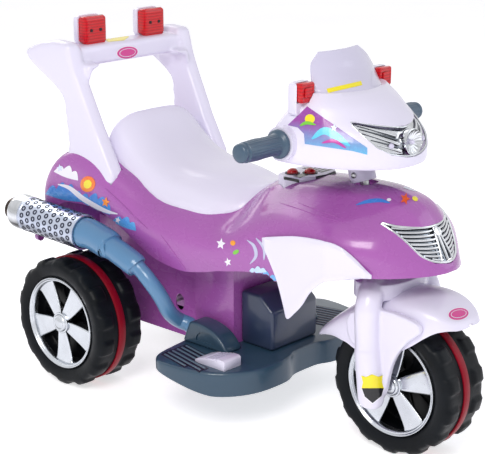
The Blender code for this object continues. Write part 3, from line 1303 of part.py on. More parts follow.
def shape_body_openings(shell, parent):
    """Cut the seat, the hoop's feet, the dash, the stem and the mouth out of the body."""
    cut(shell, seat_space(parent))
    for slot in hoop_foot_spaces(parent):
        cut(shell, slot)
    dash_space = prism(dash_outline(-GAP), 2, DASH_TOP_Z - DASH_HEIGHT - GAP, DASH_TOP_Z + 0.02)
    cut(shell, make_guide("guide_dash_space", dash_space, parent))
    hole = rod(steer_point(0.44), steer_point(0.52), COLLAR_RADIUS + COLLAR_PLAY, 20)
    cut(shell, make_guide("guide_stem_hole", hole, parent))
    cut(shell, make_guide("guide_mouth", prism(mouth_outline(0.0), 1, -0.54, MOUTH_REAR_Y), parent))
    add_weld(shell)


def axles(chassis, steering):
    half = REAR_TRACK / 2 + TYRE_WIDTH / 2 + 0.002
    rear = rod((-half, REAR_AXLE_Y, AXLE_Z), (half, REAR_AXLE_Y, AXLE_Z), AXLE_RADIUS, 16)
    make_object("rear_axle", rear, "steel", chassis)
    reach = FORK_LEG_X + FORK_LEG_RADIUS
    front = rod((-reach, FRONT_AXLE_Y, AXLE_Z), (reach, FRONT_AXLE_Y, AXLE_Z), AXLE_RADIUS, 16)
    make_object("front_axle", front, "steel", steering, steer_origin())


def build():
    clear_scene()
    vehicle = make_empty("vehicle", (0.0, ORIGIN_SHIFT_Y, TYRE_RADIUS - AXLE_Z))
    steering = make_empty("steering_axis", steer_origin(), vehicle)
    shell = body_shell(vehicle)
    shape_body_openings(shell, vehicle)
    seat(vehicle)
    rear_hoop(vehicle)
    hoop_lamps(vehicle)
    side_fin("side_fin_right", -1, vehicle)
    side_fin("side_fin_left", 1, vehicle)
    front_grille(vehicle)
    exhaust("right", -1, vehicle)
    exhaust("left", 1, vehicle)
    footboard(vehicle)
    battery_box(vehicle)
    underframe(vehicle)
    dash(vehicle)
    pedal(vehicle)
    steering_bush(vehicle)
    fork(steering)
    front_fender(steering)
    stem_parts(steering)
    handlebar(steering)
    cowl(steering)
    headlight(steering)
    windscreen(steering)
    axles(vehicle, steering)
    centre = REAR_TRACK / 2
    left_axis = make_empty("rear_wheel_left_axis", (centre, REAR_AXLE_Y, AXLE_Z), vehicle)
    right_axis = make_empty("rear_wheel_right_axis", (-centre, REAR_AXLE_Y, AXLE_Z), vehicle)
    offset = Vector((0.0, FRONT_AXLE_Y, AXLE_Z)) - Vector(steer_origin())
    front_axis = make_empty("front_wheel_axis", offset, steering)
    wheel("rear_wheel_left", centre, REAR_AXLE_Y, left_axis, (1,))
    wheel("rear_wheel_right", -centre, REAR_AXLE_Y, right_axis, (-1,))
    wheel("front_wheel", 0.0, FRONT_AXLE_Y, front_axis, (1, -1), math.pi / SPOKE_COUNT)
    drive(vehicle, left_axis)


build()
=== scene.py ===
"""Looks of the kids electric motorcycle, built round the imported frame.

Pieces are drawn in the vehicle's own frame: metres, +Z up, the front faces -Y and x = 0 is the
middle plane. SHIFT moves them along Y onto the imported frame. Tables given to mm() are in
millimetres. Prints, beads and creases are placed in pixels of the photograph, in its 485 x 454
frame.
"""

import json
import math

import bmesh
import bpy
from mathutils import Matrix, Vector
from mathutils.bvhtree import BVHTree


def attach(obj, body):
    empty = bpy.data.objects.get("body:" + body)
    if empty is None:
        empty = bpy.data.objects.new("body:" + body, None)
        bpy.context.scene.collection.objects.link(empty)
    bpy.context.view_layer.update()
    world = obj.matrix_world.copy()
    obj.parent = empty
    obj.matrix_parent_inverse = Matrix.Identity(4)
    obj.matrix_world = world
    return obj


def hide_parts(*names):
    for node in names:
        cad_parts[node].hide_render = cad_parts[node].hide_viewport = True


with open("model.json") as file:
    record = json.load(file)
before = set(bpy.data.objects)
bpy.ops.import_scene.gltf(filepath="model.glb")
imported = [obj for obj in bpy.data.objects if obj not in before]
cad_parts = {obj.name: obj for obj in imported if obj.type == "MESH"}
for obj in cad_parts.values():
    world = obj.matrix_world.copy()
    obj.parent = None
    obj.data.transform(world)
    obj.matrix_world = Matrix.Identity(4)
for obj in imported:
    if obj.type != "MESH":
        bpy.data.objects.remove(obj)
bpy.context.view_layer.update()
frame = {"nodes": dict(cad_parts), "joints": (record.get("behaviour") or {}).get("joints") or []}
NODES = frame["nodes"]


def mm(*rows):
    """Rows of lengths in metres, from rows in millimetres."""
    return [tuple(value / 1000.0 for value in row) for row in rows]


# The wheels' axes, the steering axis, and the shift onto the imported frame
REAR_AXLE = Vector((0.1855, 0.274, 0.13))
FRONT_AXLE = Vector((0.0, -0.4026, 0.13))
STEER_PIVOT_Y = -0.293
STEER_PIVOT = Vector((0.0, STEER_PIVOT_Y, 0.475))
SHIFT = Vector((0.0, frame["joints"][0]["pos_m"][1] - STEER_PIVOT_Y, 0.0))
RAKE = math.radians(20.0)
BAR = Vector((0.0, -0.222, 0.555))
SIDES = (("right", -1), ("left", 1))
X_AXIS = (1, 0, 0)
GAP = 0.0003
WALL = 0.003
PRINT_LIFT = 0.00035

# The photograph's camera
IMAGE_WIDTH, IMAGE_HEIGHT = 485, 454
AZIMUTH, ELEVATION = math.radians(-47.3), math.radians(16.16)
FOCAL_PX = 1399.4
SENSOR_WIDTH = 36.0
BACK = Vector((math.sin(AZIMUTH) * math.cos(ELEVATION), -math.cos(AZIMUTH) * math.cos(ELEVATION),
               math.sin(ELEVATION)))
RIGHT = Vector((0.0, 0.0, 1.0)).cross(BACK).normalized()
UP = BACK.cross(RIGHT)
CAMERA_TARGET = Vector((0.0, 0.0, 0.3316))
CAMERA_DISTANCE = 2.711
CAMERA_PLACE = CAMERA_TARGET + BACK * CAMERA_DISTANCE


# Materials

def srgb(*values):
    """A linear colour from 0 to 255 screen values."""
    linear = []
    for value in values:
        share = value / 255.0
        linear.append(share / 12.92 if share <= 0.04045 else ((share + 0.055) / 1.055) ** 2.4)
    return (*linear, 1.0)


def scaled(colour, factor):
    return tuple(min(channel * factor, 1.0) for channel in colour[:3]) + (1.0,)


class Surface:
    """A Principled material with its nodes at hand."""

    def __init__(self, name):
        self.material = bpy.data.materials.new(name)
        self.material.use_nodes = True
        self.tree = self.material.node_tree
        self.sockets = self.tree.nodes["Principled BSDF"].inputs
        self.place = self.node("ShaderNodeTexCoord").outputs["Object"]

    def node(self, kind, **values):
        made = self.tree.nodes.new(kind)
        for key, value in values.items():
            setattr(made, key, value)
        return made

    def link(self, source, target):
        self.tree.links.new(source, target)

    def noise(self, scale, detail=3.0, stretch=(1.0, 1.0, 1.0)):
        mapping = self.node("ShaderNodeMapping")
        mapping.inputs["Scale"].default_value = stretch
        self.link(self.place, mapping.inputs["Vector"])
        noise = self.node("ShaderNodeTexNoise")
        noise.inputs["Scale"].default_value = scale
        noise.inputs["Detail"].default_value = detail
        self.link(mapping.outputs["Vector"], noise.inputs["Vector"])
        return noise.outputs["Fac"]

    def ramp(self, source, stops):
        """Colours at shares of the source's range."""
        ramp = self.node("ShaderNodeValToRGB")
        elements = ramp.color_ramp.elements
        while len(elements) < len(stops):
            elements.new(0.5)
        for element, (position, colour) in zip(elements, stops):
            element.position = position
            element.color = colour
        self.link(source, ramp.inputs["Fac"])
        return ramp.outputs["Color"]

    def spread(self, source, *limits):
        """Map a range of a value onto another range."""
        spread = self.node("ShaderNodeMapRange")
        for key, value in zip(("From Min", "From Max", "To Min", "To Max"), limits):
            spread.inputs[key].default_value = value
        self.link(source, spread.inputs["Value"])
        return spread.outputs["Result"]

    def wobble(self, source, factor, noise):
        """A value with a share of a noise added to it."""
        wobble = self.node("ShaderNodeMath", operation="MULTIPLY_ADD")
        self.link(noise, wobble.inputs[0])
        wobble.inputs[1].default_value = factor
        self.link(source, wobble.inputs[2])
        return wobble.outputs["Value"]

    def tint(self, source, stops):
        self.link(self.ramp(source, stops), self.sockets["Base Color"])

    def gloss(self, source, *limits):
        self.link(self.spread(source, *limits), self.sockets["Roughness"])

    def relief(self, source, strength, distance):
        bump = self.node("ShaderNodeBump")
        bump.inputs["Strength"].default_value = strength
        bump.inputs["Distance"].default_value = distance
        self.link(source, bump.inputs["Height"])
        self.link(bump.outputs["Normal"], self.sockets["Normal"])

    def finish(self, roughness, metallic=0.0, coat=0.0, specular=0.5):
        for key, value in (("Roughness", roughness), ("Metallic", metallic), ("Coat Weight", coat),
                           ("Coat Roughness", 0.08), ("Specular IOR Level", specular)):
            self.sockets[key].default_value = value
        return self.material


def moulded(name, screen_colour, roughness=0.3, coat=0.3, variation=0.025, grain=0.05, specular=0.4):
    """Moulded plastic: faint flow marks in the colour, orange-peel gloss and faint scuffs."""
    surface = Surface(f"{name}_look")
    colour = srgb(*screen_colour)
    flow = surface.noise(5.0, 2.0, (1.0, 0.7, 1.3))
    pale = scaled(colour, 1.0 + variation)
    surface.tint(flow, ((0.3, scaled(colour, 1.0 - variation)), (0.72, pale)))
    scuffs = surface.noise(60.0, 3.0, (1.0, 0.6, 1.0))
    surface.gloss(scuffs, 0.45, 0.8, roughness, min(roughness + 0.06, 1.0))
    surface.relief(surface.noise(420.0, 2.0), grain, 0.0006)
    return surface.finish(roughness, coat=coat, specular=specular)


# How bright chrome is by the way it faces, a studio horizon set in as painted reflection: place in the range
# from down to up, and share of its colour
CHROME_REFLECTION_BANDS = ((0.0, 0.3), (0.22, 0.75), (0.36, 0.12), (0.44, 0.06), (0.5, 0.55), (0.62, 1.0),
                (0.8, 0.72), (1.0, 1.0))
# Softer bands of painted reflection, for satin chrome
SOFT_REFLECTION_BANDS = ((0.0, 0.55), (0.36, 0.45), (0.46, 0.4), (0.58, 0.9), (1.0, 1.0))


def plated(name, colour, roughness=0.07, waviness=0.1, darkest=0.75, bands=CHROME_REFLECTION_BANDS):
    """Chromed plastic: bright and dark bands of painted reflection by the way the surface faces, with a haze.
    """
    surface = Surface(f"{name}_look")
    colour = (*colour, 1.0)
    facing = surface.node("ShaderNodeVectorMath", operation="DOT_PRODUCT")
    surface.link(surface.node("ShaderNodeNewGeometry").outputs["Normal"], facing.inputs[0])
    facing.inputs[1].default_value = (-0.3, -0.35, 0.89)
    height = surface.spread(facing.outputs["Value"], -1.0, 1.0, -0.08, 0.92)
    stops = [(place, scaled(colour, share)) for place, share in bands]
    # The bands by facing are painted reflection, set into the colour
    shades = surface.ramp(surface.wobble(height, 0.16, surface.noise(22.0, 2.0)), stops)
    dull = (darkest, darkest, darkest, 1.0)
    haze = surface.ramp(surface.noise(26.0, 4.0), ((0.35, dull), (0.62, (1.0, 1.0, 1.0, 1.0))))
    tint = surface.node("ShaderNodeMix", data_type="RGBA", blend_type="MULTIPLY")
    tint.inputs["Factor"].default_value = 1.0
    surface.link(shades, tint.inputs["A"])
    surface.link(haze, tint.inputs["B"])
    surface.link(tint.outputs["Result"], surface.sockets["Base Color"])
    surface.gloss(surface.noise(60.0, 5.0), 0.4, 0.75, roughness, roughness + 0.1)
    surface.relief(surface.noise(34.0, 2.0), waviness, 0.002)
    return surface.finish(roughness, metallic=1.0)


def rubbery(name, screen_colour, roughness):
    """Blow-moulded black plastic with a dull, dusty skin."""
    surface = Surface(f"{name}_look")
    colour = srgb(*screen_colour)
    dust = surface.noise(18.0, 5.0)
    surface.tint(dust, ((0.35, scaled(colour, 0.75)), (0.7, scaled(colour, 1.5))))
    surface.gloss(surface.noise(45.0, 4.0), 0.35, 0.75, roughness - 0.08, roughness + 0.12)
    surface.relief(surface.noise(260.0, 4.0), 0.25, 0.0008)
    return surface.finish(roughness, specular=0.12)


def lens(name, screen_colour):
    """Red lamp plastic: glossy outside, with moulded ribs whose troughs are painted darker as shade, in fine
    dark lines.
    """
    surface = Surface(f"{name}_look")
    colour = srgb(*screen_colour)
    wave = surface.node("ShaderNodeTexWave", bands_direction="Z")
    wave.inputs["Scale"].default_value = 55.0
    surface.link(surface.place, wave.inputs["Vector"])
    # Darker where the ribs' relief is low: painted shade in the troughs
    surface.tint(wave.outputs["Fac"], ((0.15, scaled(colour, 0.72)), (0.6, colour)))
    surface.relief(wave.outputs["Fac"], 0.18, 0.001)
    surface.gloss(surface.noise(70.0, 3.0), 0.4, 0.8, 0.1, 0.2)
    return surface.finish(0.16, coat=0.2, specular=0.35)


def printed(name, low_colour, high_colour, low_z, high_z):
    """Sticker print that shades from one colour up to another, a little mottled."""
    surface = Surface(f"{name}_look")
    split = surface.node("ShaderNodeSeparateXYZ")
    surface.link(surface.place, split.inputs["Vector"])
    height = surface.spread(split.outputs["Z"], low_z, high_z, 0.0, 1.0)
    mottle = surface.wobble(height, 0.35, surface.noise(55.0, 2.0))
    surface.tint(mottle, ((0.1, srgb(*low_colour)), (1.15, srgb(*high_colour))))
    surface.gloss(surface.noise(120.0, 3.0), 0.4, 0.8, 0.22, 0.34)
    return surface.finish(0.25, coat=0.3)


PINK_PLASTIC = moulded("pink_plastic", (163, 88, 168), 0.26, 0.45)
WHITE_PLASTIC = moulded("white_plastic", (226, 222, 240), 0.3, 0.35, variation=0.03)
SCREEN_PLASTIC = moulded("screen_plastic", (206, 202, 224), 0.22, 0.5, variation=0.03)
GREY_PLASTIC = moulded("grip_plastic", (62, 84, 104), 0.36, 0.2)
BOARD_PLASTIC = moulded("board_plastic", (46, 72, 92), 0.32, 0.3)
# Treads are painted lighter as highlight; the fields under them are painted dark as shade and reflection of
# the body
TREAD_HIGHLIGHT_PLASTIC = moulded("board_tread", (92, 112, 128), 0.36, 0.2)
TREAD_SHADE_PLASTIC = moulded("tread_shade_pad", (34, 28, 48), 0.45, 0.05, grain=0.2, specular=0.25)
BOX_PLASTIC = moulded("battery_box", (46, 58, 84), 0.3, 0.35)
PIPE_PLASTIC = moulded("pipe_plastic", (86, 132, 172), 0.28, 0.45)
BLACK_PLASTIC = moulded("black_plastic", (20, 22, 28), 0.42, 0.05, grain=0.15, specular=0.25)
WELL_PLASTIC = moulded("wheel_well", (10, 12, 16), 0.3, 0.0, specular=0.2)
NYLON = moulded("nylon", (214, 210, 200), 0.5, 0.0)
TYRE = rubbery("tyre", (14, 17, 21), 0.42)
BAND = moulded("tyre_band", (132, 4, 28), 0.4, 0.0, specular=0.2)
CHROME = plated("chrome", (0.78, 0.8, 0.84))
SPOKE_CHROME = plated("spoke_chrome", (0.66, 0.69, 0.74), 0.2, 0.04, 0.9, SOFT_REFLECTION_BANDS)
# Darkened chrome for the grille's back: painted shade behind the slats
SHADE_PAINTED_CHROME = plated("shade_painted_chrome", (0.34, 0.38, 0.44), 0.16, 0.14)
# Dark chrome for the headlight's strips: painted dark reflection
DARK_REFLECTION_CHROME = plated("dark_reflection_chrome", (0.2, 0.22, 0.25), 0.12, 0.14)
SLEEVE_CHROME = plated("sleeve_chrome", (0.58, 0.63, 0.76), 0.24, 0.05, 0.9, SOFT_REFLECTION_BANDS)
BRONZE = plated("outlet_bronze", (0.1, 0.08, 0.07), 0.14, 0.2, 0.6)
STEEL = plated("zinc_steel", (0.56, 0.57, 0.58), 0.28, 0.05, 0.8)
RED_LENS = lens("red_lens", (206, 4, 22))
RING_NAVY = moulded("sleeve_ring", (20, 26, 52), 0.35, 0.1, specular=0.3)
INKS = {
    "lilac": SCREEN_PLASTIC,
    "orange": printed("print_orange", (240, 190, 40), (238, 96, 30), 0.3, 0.46),
    "sky": printed("print_sky", (120, 200, 240), (66, 130, 214), 0.26, 0.42),
    "light": printed("print_light_sky", (176, 214, 244), (214, 226, 248), 0.26, 0.44),
    "panel": printed("print_cowl_panel", (90, 190, 232), (150, 66, 160), 0.548, 0.604),
    "cyan": printed("print_cyan", (70, 190, 236), (110, 214, 240), 0.54, 0.6),
}
for ink, ink_colour in (("black", (22, 22, 28)), ("white", (238, 236, 246)), ("yellow", (240, 224, 40)),
                        ("pink", (208, 58, 140)), ("green", (120, 200, 60)), ("silver", (190, 192, 220)),
                        ("magenta", (196, 60, 160))):
    INKS[ink] = moulded(f"print_{ink}", ink_colour)


# Shapes

def smooth_line(points, steps, closed=False):
    """A Catmull-Rom curve through the points."""
    vectors = [Vector(point) for point in points]
    if closed:
        ends = [vectors[-1]] + vectors + vectors[:2]
    else:
        ends = [2 * vectors[0] - vectors[1]] + vectors + [2 * vectors[-1] - vectors[-2]]
    curve = []
    for index in range(1, len(ends) - 2):
        a, b, c, d = ends[index - 1:index + 3]
        for step in range(steps):
            t = step / steps
            curve.append(0.5 * (2 * b + (c - a) * t + (2 * a - 5 * b + 4 * c - d) * t ** 2
                                + (3 * b - a - 3 * c + d) * t ** 3))
    if not closed:
        curve.append(vectors[-1])
    return curve


def loft(rings, cap=True, closed=False):
    """Skin a row of closed rings; closed joins the last ring to the first."""
    bm = bmesh.new()
    lines = [[bm.verts.new(point) for point in ring] for ring in rings]
    for line, after in zip(lines, lines[1:] + lines[:1] if closed else lines[1:]):
        for index, vertex in enumerate(line):
            follower = (index + 1) % len(line)
            bm.faces.new((vertex, line[follower], after[follower], after[index]))
    if cap and not closed:
        bm.faces.new(lines[0])
        bm.faces.new(lines[-1])
    return bm


def add(bm, *others):
    """Put the other solids into the first one's mesh, and free them."""
    for other in others:
        mesh = bpy.data.meshes.new("part")
        other.to_mesh(mesh)
        other.free()
        bm.from_mesh(mesh)
        bpy.data.meshes.remove(mesh)
    return bm


def joined(solids):
    return add(bmesh.new(), *solids)


def over_x(points):
    """The mirror image of points on the other side of the vehicle."""
    return [Vector((-point.x, point.y, point.z)) for point in points]


def mirrored(half):
    """A full outline from its half with x >= 0, listed from the middle outwards and back."""
    outer = [point for point in reversed(half) if abs(point[0]) > 1e-6]
    return list(half) + [Vector((-point[0], *point[1:])) for point in outer]


def prism(outline, axis, low, high):
    """Extrude a flat outline along X, Y or Z; the outline holds the other two coordinates."""
    rings = []
    for along in (low, high):
        ring = [[pair[0], pair[1]] for pair in outline]
        for values in ring:
            values.insert(axis, along)
        rings.append(ring)
    return loft(rings)


def box(low, high):
    outline = [(low[0], low[1]), (high[0], low[1]), (high[0], high[1]), (low[0], high[1])]
    return prism(outline, 2, low[2], high[2])


def across(direction):
    """A direction across the given one, near +X or +Z."""
    guide = Vector((0.0, 0.0, 1.0)) if abs(direction.x) > 0.9 else Vector((1.0, 0.0, 0.0))
    return (guide - direction * guide.dot(direction)).normalized()


def tube(points, radii, segments=16, closed=False):
    """A round rod along a line of points, with a radius at each point or one for all."""
    points = [Vector(point) for point in points]
    radii = [radii] * len(points) if isinstance(radii, float) else radii
    rings = []
    side = None
    last = len(points) - 1
    for index, point in enumerate(points):
        before = points[index - 1] if closed or index > 0 else points[0]
        after = points[(index + 1) % len(points)] if closed or index < last else points[last]
        direction = (after - before).normalized()
        side = across(direction) if side is None else (side - direction * side.dot(direction)).normalized()
        other = direction.cross(side)
        turns = [2.0 * math.pi * step / segments for step in range(segments)]
        rings.append([point + radii[index] * (math.cos(t) * side + math.sin(t) * other) for t in turns])
    return loft(rings, closed=closed)


def swept(path, steps, segments):
    """A round rod along rows of x, y, z and radius."""
    flow = smooth_line(path, steps)
    return tube([point[:3] for point in flow], [point[3] for point in flow], segments)


def rod(start, end, radius, segments=32):
    return tube([start, end], radius, segments)


def turned(profile, start, along, segments=48, closed_profile=True, swing=None):
    """Turn (distance along, radius) points round an axis; swing changes a radius by its angle."""
    along = Vector(along).normalized()
    side = across(along)
    other = along.cross(side)
    rings = []
    for index in range(segments):
        turn = 2.0 * math.pi * index / segments
        outwards = math.cos(turn) * side + math.sin(turn) * other
        ring = []
        for distance, radius in profile:
            reach = radius if swing is None else swing(distance, radius, turn)
            ring.append(Vector(start) + along * distance + outwards * reach)
        rings.append(ring)
    bm = loft(rings, closed=True)
    if not closed_profile:
        bmesh.ops.remove_doubles(bm, verts=bm.verts, dist=1e-6)
    return bm


def offset(profile, length, radius=0.0):
    """A profile with a length and a radius added to its points."""
    return [(distance + length, reach + radius) for distance, reach in profile]


def soften(mesh, smooth):
    """Smooth shading, but for edges sharper than an angle in degrees."""
    mesh.shade_smooth()
    mesh.set_sharp_from_angle(angle=math.radians(smooth))


def placed(name, bm, material, smooth=40.0):
    """A mesh object drawn in the vehicle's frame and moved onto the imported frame."""
    bmesh.ops.recalc_face_normals(bm, faces=bm.faces)
    bmesh.ops.translate(bm, verts=bm.verts, vec=SHIFT)
    mesh = bpy.data.meshes.new(name)
    bm.to_mesh(mesh)
    bm.free()
    soften(mesh, smooth)
    obj = bpy.data.objects.new(name, mesh)
    bpy.context.scene.collection.objects.link(obj)
    mesh.materials.append(material)
    return obj


def shaped(obj, steps, smooth=40.0):
    """Cut, join or round an object by a row of steps, and remove the helpers."""
    helpers = []
    for kind, value in steps:
        settings = {"voxel_size": value, "mode": "VOXEL"}
        if kind == "BEVEL":
            width, segments, angle = value
            settings = {"width": width, "segments": segments, "angle_limit": math.radians(angle),
                        "limit_method": "ANGLE", "harden_normals": False}
        elif kind == "DISPLACE":
            settings = {"strength": value, "mid_level": 0.0}
        elif kind == "SMOOTH":
            settings = {"factor": 0.5, "iterations": value}
        elif kind in ("DIFFERENCE", "UNION"):
            helpers.append(placed("helper", value, obj.data.materials[0]))
            settings = {"operation": kind, "solver": "EXACT", "object": helpers[-1]}
        modifier = obj.modifiers.new(kind, "BOOLEAN" if "solver" in settings else kind)
        for key, setting in settings.items():
            setattr(modifier, key, setting)
    bpy.context.view_layer.update()
    evaluated = obj.evaluated_get(bpy.context.evaluated_depsgraph_get())
    mesh = bpy.data.meshes.new_from_object(evaluated)
    obj.modifiers.clear()
    obj.data = mesh
    soften(mesh, smooth)
    for helper in helpers:
        bpy.data.objects.remove(helper)
    return obj


def trim(name, bm, material, body, smooth=40.0):
    """A piece that stands for no node and rides on a body."""
    obj = placed(name, bm, material, smooth)
    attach(obj, body)
    return obj


def piece(node, bm, material, body, steps=(), smooth=40.0, name=None):
    """A piece that stands for a node and rides on a body; the node's own part is hidden."""
    obj = placed(name or f"{node}_look", bm, material, 40.0 if steps else smooth)
    if steps:
        shaped(obj, steps, smooth)
    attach(obj, body)
    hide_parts(node)
    return obj


def paint(material, *names):
    """Give carried-over nodes their finish."""
    for name in names:
        slots = NODES[name].data.materials
        if not slots:
            slots.append(material)
        for index in range(len(slots)):
            slots[index] = material


# Rays from the photograph, and from a place ahead of the nose

AHEAD_Y = -0.7
# Rounds and longest edge, in pixels, of a print's net, and longest edge, in metres, of a front net
NET_ROUNDS = 5
PRINT_SPACING = 1.6
FRONT_SPACING = 0.004
# How far a bead's middle stands out of the skin, as a share of its radius
BEAD_RISE = 0.2


class Skin:
    """The outside of a piece, to set prints and beads on."""

    def __init__(self, obj):
        self.tree = BVHTree.FromPolygons([vertex.co - SHIFT for vertex in obj.data.vertices],
                                         [list(polygon.vertices) for polygon in obj.data.polygons])

    def seen_at(self, px, py, lift):
        """The point over the skin that the photograph shows at a pixel."""
        rightwards = RIGHT * (px - IMAGE_WIDTH / 2) / FOCAL_PX
        downwards = UP * (py - IMAGE_HEIGHT / 2) / FOCAL_PX
        direction = (-BACK + rightwards - downwards).normalized()
        point, normal = self.tree.ray_cast(CAMERA_PLACE, direction)[:2]
        if point is None:
            return None
        outwards = -normal if normal.dot(direction) > 0.0 else normal
        return point + outwards * lift


def front_point(tree, x, z, depth):
    """A point a little behind a surface that is seen from the front."""
    point = tree.ray_cast(Vector((x, AHEAD_Y, z)), Vector((0.0, 1.0, 0.0)))[0]
    return None if point is None else point + Vector((0.0, depth, 0.0))


def front_line(tree, pairs, depth):
    points = [front_point(tree, pair[0], pair[1], depth) for pair in pairs]
    return [point for point in points if point is not None]


def draped(outline, spacing, find):
    """A net of small triangles that fills a flat outline, moved to where its points are found."""
    net = bmesh.new()
    face = net.faces.new([net.verts.new((point[0], point[1], 0.0)) for point in outline])
    bmesh.ops.triangulate(net, faces=[face])
    for repeat in range(NET_ROUNDS):
        long_edges = [edge for edge in net.edges if edge.calc_length() > spacing]
        if not long_edges:
            break
        bmesh.ops.subdivide_edges(net, edges=long_edges, cuts=1)
        bmesh.ops.triangulate(net, faces=net.faces)
    missed = []
    for vertex in net.verts:
        point = find(vertex.co.x, vertex.co.y)
        if point is None:
            missed.append(vertex)
        else:
            vertex.co = point
    bmesh.ops.delete(net, geom=missed, context="VERTS")
    return net


def front_net(outline, tree, depth, spacing=FRONT_SPACING):
    return draped(outline, spacing, lambda x, z: front_point(tree, x, z, depth))


def edge_tube(outline, tree, depth, radius):
    """A rounded lip along an outline seen from the front."""
    return tube(front_line(tree, smooth_line(outline, 3, closed=True), depth), radius, 10, closed=True)


def sticker(name, skin, outline, material, body, layer, both=True):
    """A print outlined in pixels; both sets its mirror image on the left side too."""
    lift = PRINT_LIFT * (layer + 1)
    net = draped(outline, PRINT_SPACING, lambda px, py: skin.seen_at(px, py, lift))
    if both:
        other = net.copy()
        for vertex in other.verts:
            vertex.co.x = -vertex.co.x
        bmesh.ops.reverse_faces(other, faces=other.faces)
        add(net, other)
    trim(name, net, material, body, 60.0)


def bead(name, skin, line, radius, material, body):
    """A raised line on both sides of a skin, sunk into it."""
    found = [skin.seen_at(flat.x, flat.y, BEAD_RISE * radius) for flat in smooth_line(line, 6)]
    points = [point for point in found if point is not None]
    last = len(points) - 1
    radii = [radius * min(1.0, 0.25 + min(index, last - index) / 3.0) for index in range(last + 1)]
    trim(name, add(tube(points, radii, 8), tube(over_x(points), radii, 8)), material, body)


# Body: y, middle height, shoulder x and z, side x and z, hem x and z
BODY_STATIONS = mm(
    (420, 345, 112, 337, 134, 302, 130, 256), (398, 392, 148, 386, 162, 350, 138, 266),
    (350, 441, 160, 441, 173, 403, 142, 292), (300, 458, 161, 462, 174, 412, 142, 300),
    (240, 456, 158, 452, 173, 403, 142, 302), (185, 434, 146, 427, 167, 372, 140, 290),
    (110, 410, 128, 390, 160, 345, 138, 249), (30, 400, 121, 384, 156, 330, 134, 232),
    (-30, 405, 108, 386, 152, 333, 132, 244), (-65, 420, 85, 394, 150, 340, 132, 254),
    (-90, 440, 80, 404, 148, 348, 132, 261), (-125, 455, 77, 435, 146, 362, 133, 273),
    (-180, 467, 73, 452, 144, 384, 136, 291), (-250, 474, 70, 457, 144, 399, 139, 314),
    (-330, 475, 70, 457, 143, 403, 140, 334), (-370, 471, 64, 453, 132, 402, 132, 341),
    (-400, 465, 55, 449, 116, 399, 120, 344.5), (-420, 456, 48, 441, 100, 394, 107, 345),
    (-436, 442, 41, 428, 83, 387, 93, 345.5), (-450, 421, 34, 410, 67, 379, 78, 346),
    (-463, 400, 27, 392, 51, 370, 63, 346.5), (-474, 381, 20, 375, 37, 362, 46, 347),
    (-482, 366, 13, 363, 24, 356, 29, 347.5), (-487, 357, 6, 356, 11, 354, 14, 348),
)
# Seat: y, half width, middle height, heights at half and at four fifths of the way out, edge height
SEAT_STATIONS = mm(
    (262, 122, 508, 506, 487, 450), (250, 122, 532, 529, 510, 455), (230, 122, 525, 522, 502, 449),
    (202, 122, 500, 498, 479, 432), (156, 122, 471, 468, 449, 406), (98, 122, 452, 449, 432, 390),
    (30, 120, 446, 442, 424, 384), (-15, 114, 441, 436, 416, 384), (-45, 100, 438, 431, 412, 387),
    (-70, 78, 438, 431, 414, 395), (-84, 45, 440, 436, 426, 412), (-91, 15, 441, 440, 438, 433),
)
SEAT_SKIRT = 0.02
BODY_HOLLOW_INSET = 0.006
# Grille mouth from the front: x and z of its right half, from the middle top outwards
MOUTH_HALF = mm(
    (0, 425), (15, 424.5), (47, 426), (70, 429.5), (84, 433), (68, 405), (53, 380), (32, 367), (0, 362),
)
MOUTH = (MOUTH_HALF, (0.0, 0.4))
# Dash from above: x and y of its right half
DASH_HALF = mm((0, -209.5), (30, -206), (70, -166), (53, -137), (0, -130))
DASH = (DASH_HALF, (0.0, -0.17))
DASH_TOP_Z = 0.472
# The hoop's feet in the body: y and z from the side, and how far out they reach
HOOP_FOOT_OUTLINE = mm((189.5, 426), (250, 540), (330, 540), (324.5, 414), (230, 395), (198, 402))
HOOP_LEG_X = (0.131, 0.163)
# Side fin: y, lower and upper edge heights
FIN_STATIONS = mm(
    (-188, 370, 381.5), (-200, 348, 385), (-219, 306, 389.5), (-234, 264, 393), (-243, 242, 395),
    (-260, 256, 398.5), (-278, 276, 400.7), (-296, 303, 402), (-324, 327, 403), (-345, 334, 401),
    (-364, 339, 393.5), (-380, 343, 381), (-396, 346.5, 365), (-408, 347, 353),
)
FIN_STAND_OFF = 0.0075
FIN_ROWS = 12


def closed_half(shape, inset):
    """A whole outline from its half, drawn in by a margin towards its middle."""
    points, middle = shape
    half = [Vector(point) for point in points]
    half = [point + (Vector(middle) - point).normalized() * inset for point in half]
    half[0].x = 0.0
    half[-1].x = 0.0
    return half + [Vector((-point.x, point.y)) for point in reversed(half[1:-1])]


def steer_point(z):
    """The point of the steering axis at a height."""
    return Vector((0.0, STEER_PIVOT.y + (z - STEER_PIVOT.z) * math.tan(RAKE), z))


def body_ring(station, inset, drop):
    y, top_z, shoulder_x, shoulder_z, side_x, side_z, hem_x, hem_z = station
    half = [
        (0.0, y, top_z - inset),
        (shoulder_x * 0.55, y, top_z - inset - 0.28 * (top_z - shoulder_z)),
        (max(shoulder_x - inset, 0.004), y, shoulder_z - inset),
        (max(side_x - inset, 0.006), y, side_z - 0.5 * inset),
        (max(hem_x - inset, 0.008), y, hem_z - drop),
    ]
    return mirrored(smooth_line(half, 6))


def body_solid(inset=0.0, drop=0.0, stations=BODY_STATIONS):
    return loft([body_ring(station, inset, drop) for station in smooth_line(stations, 4)])


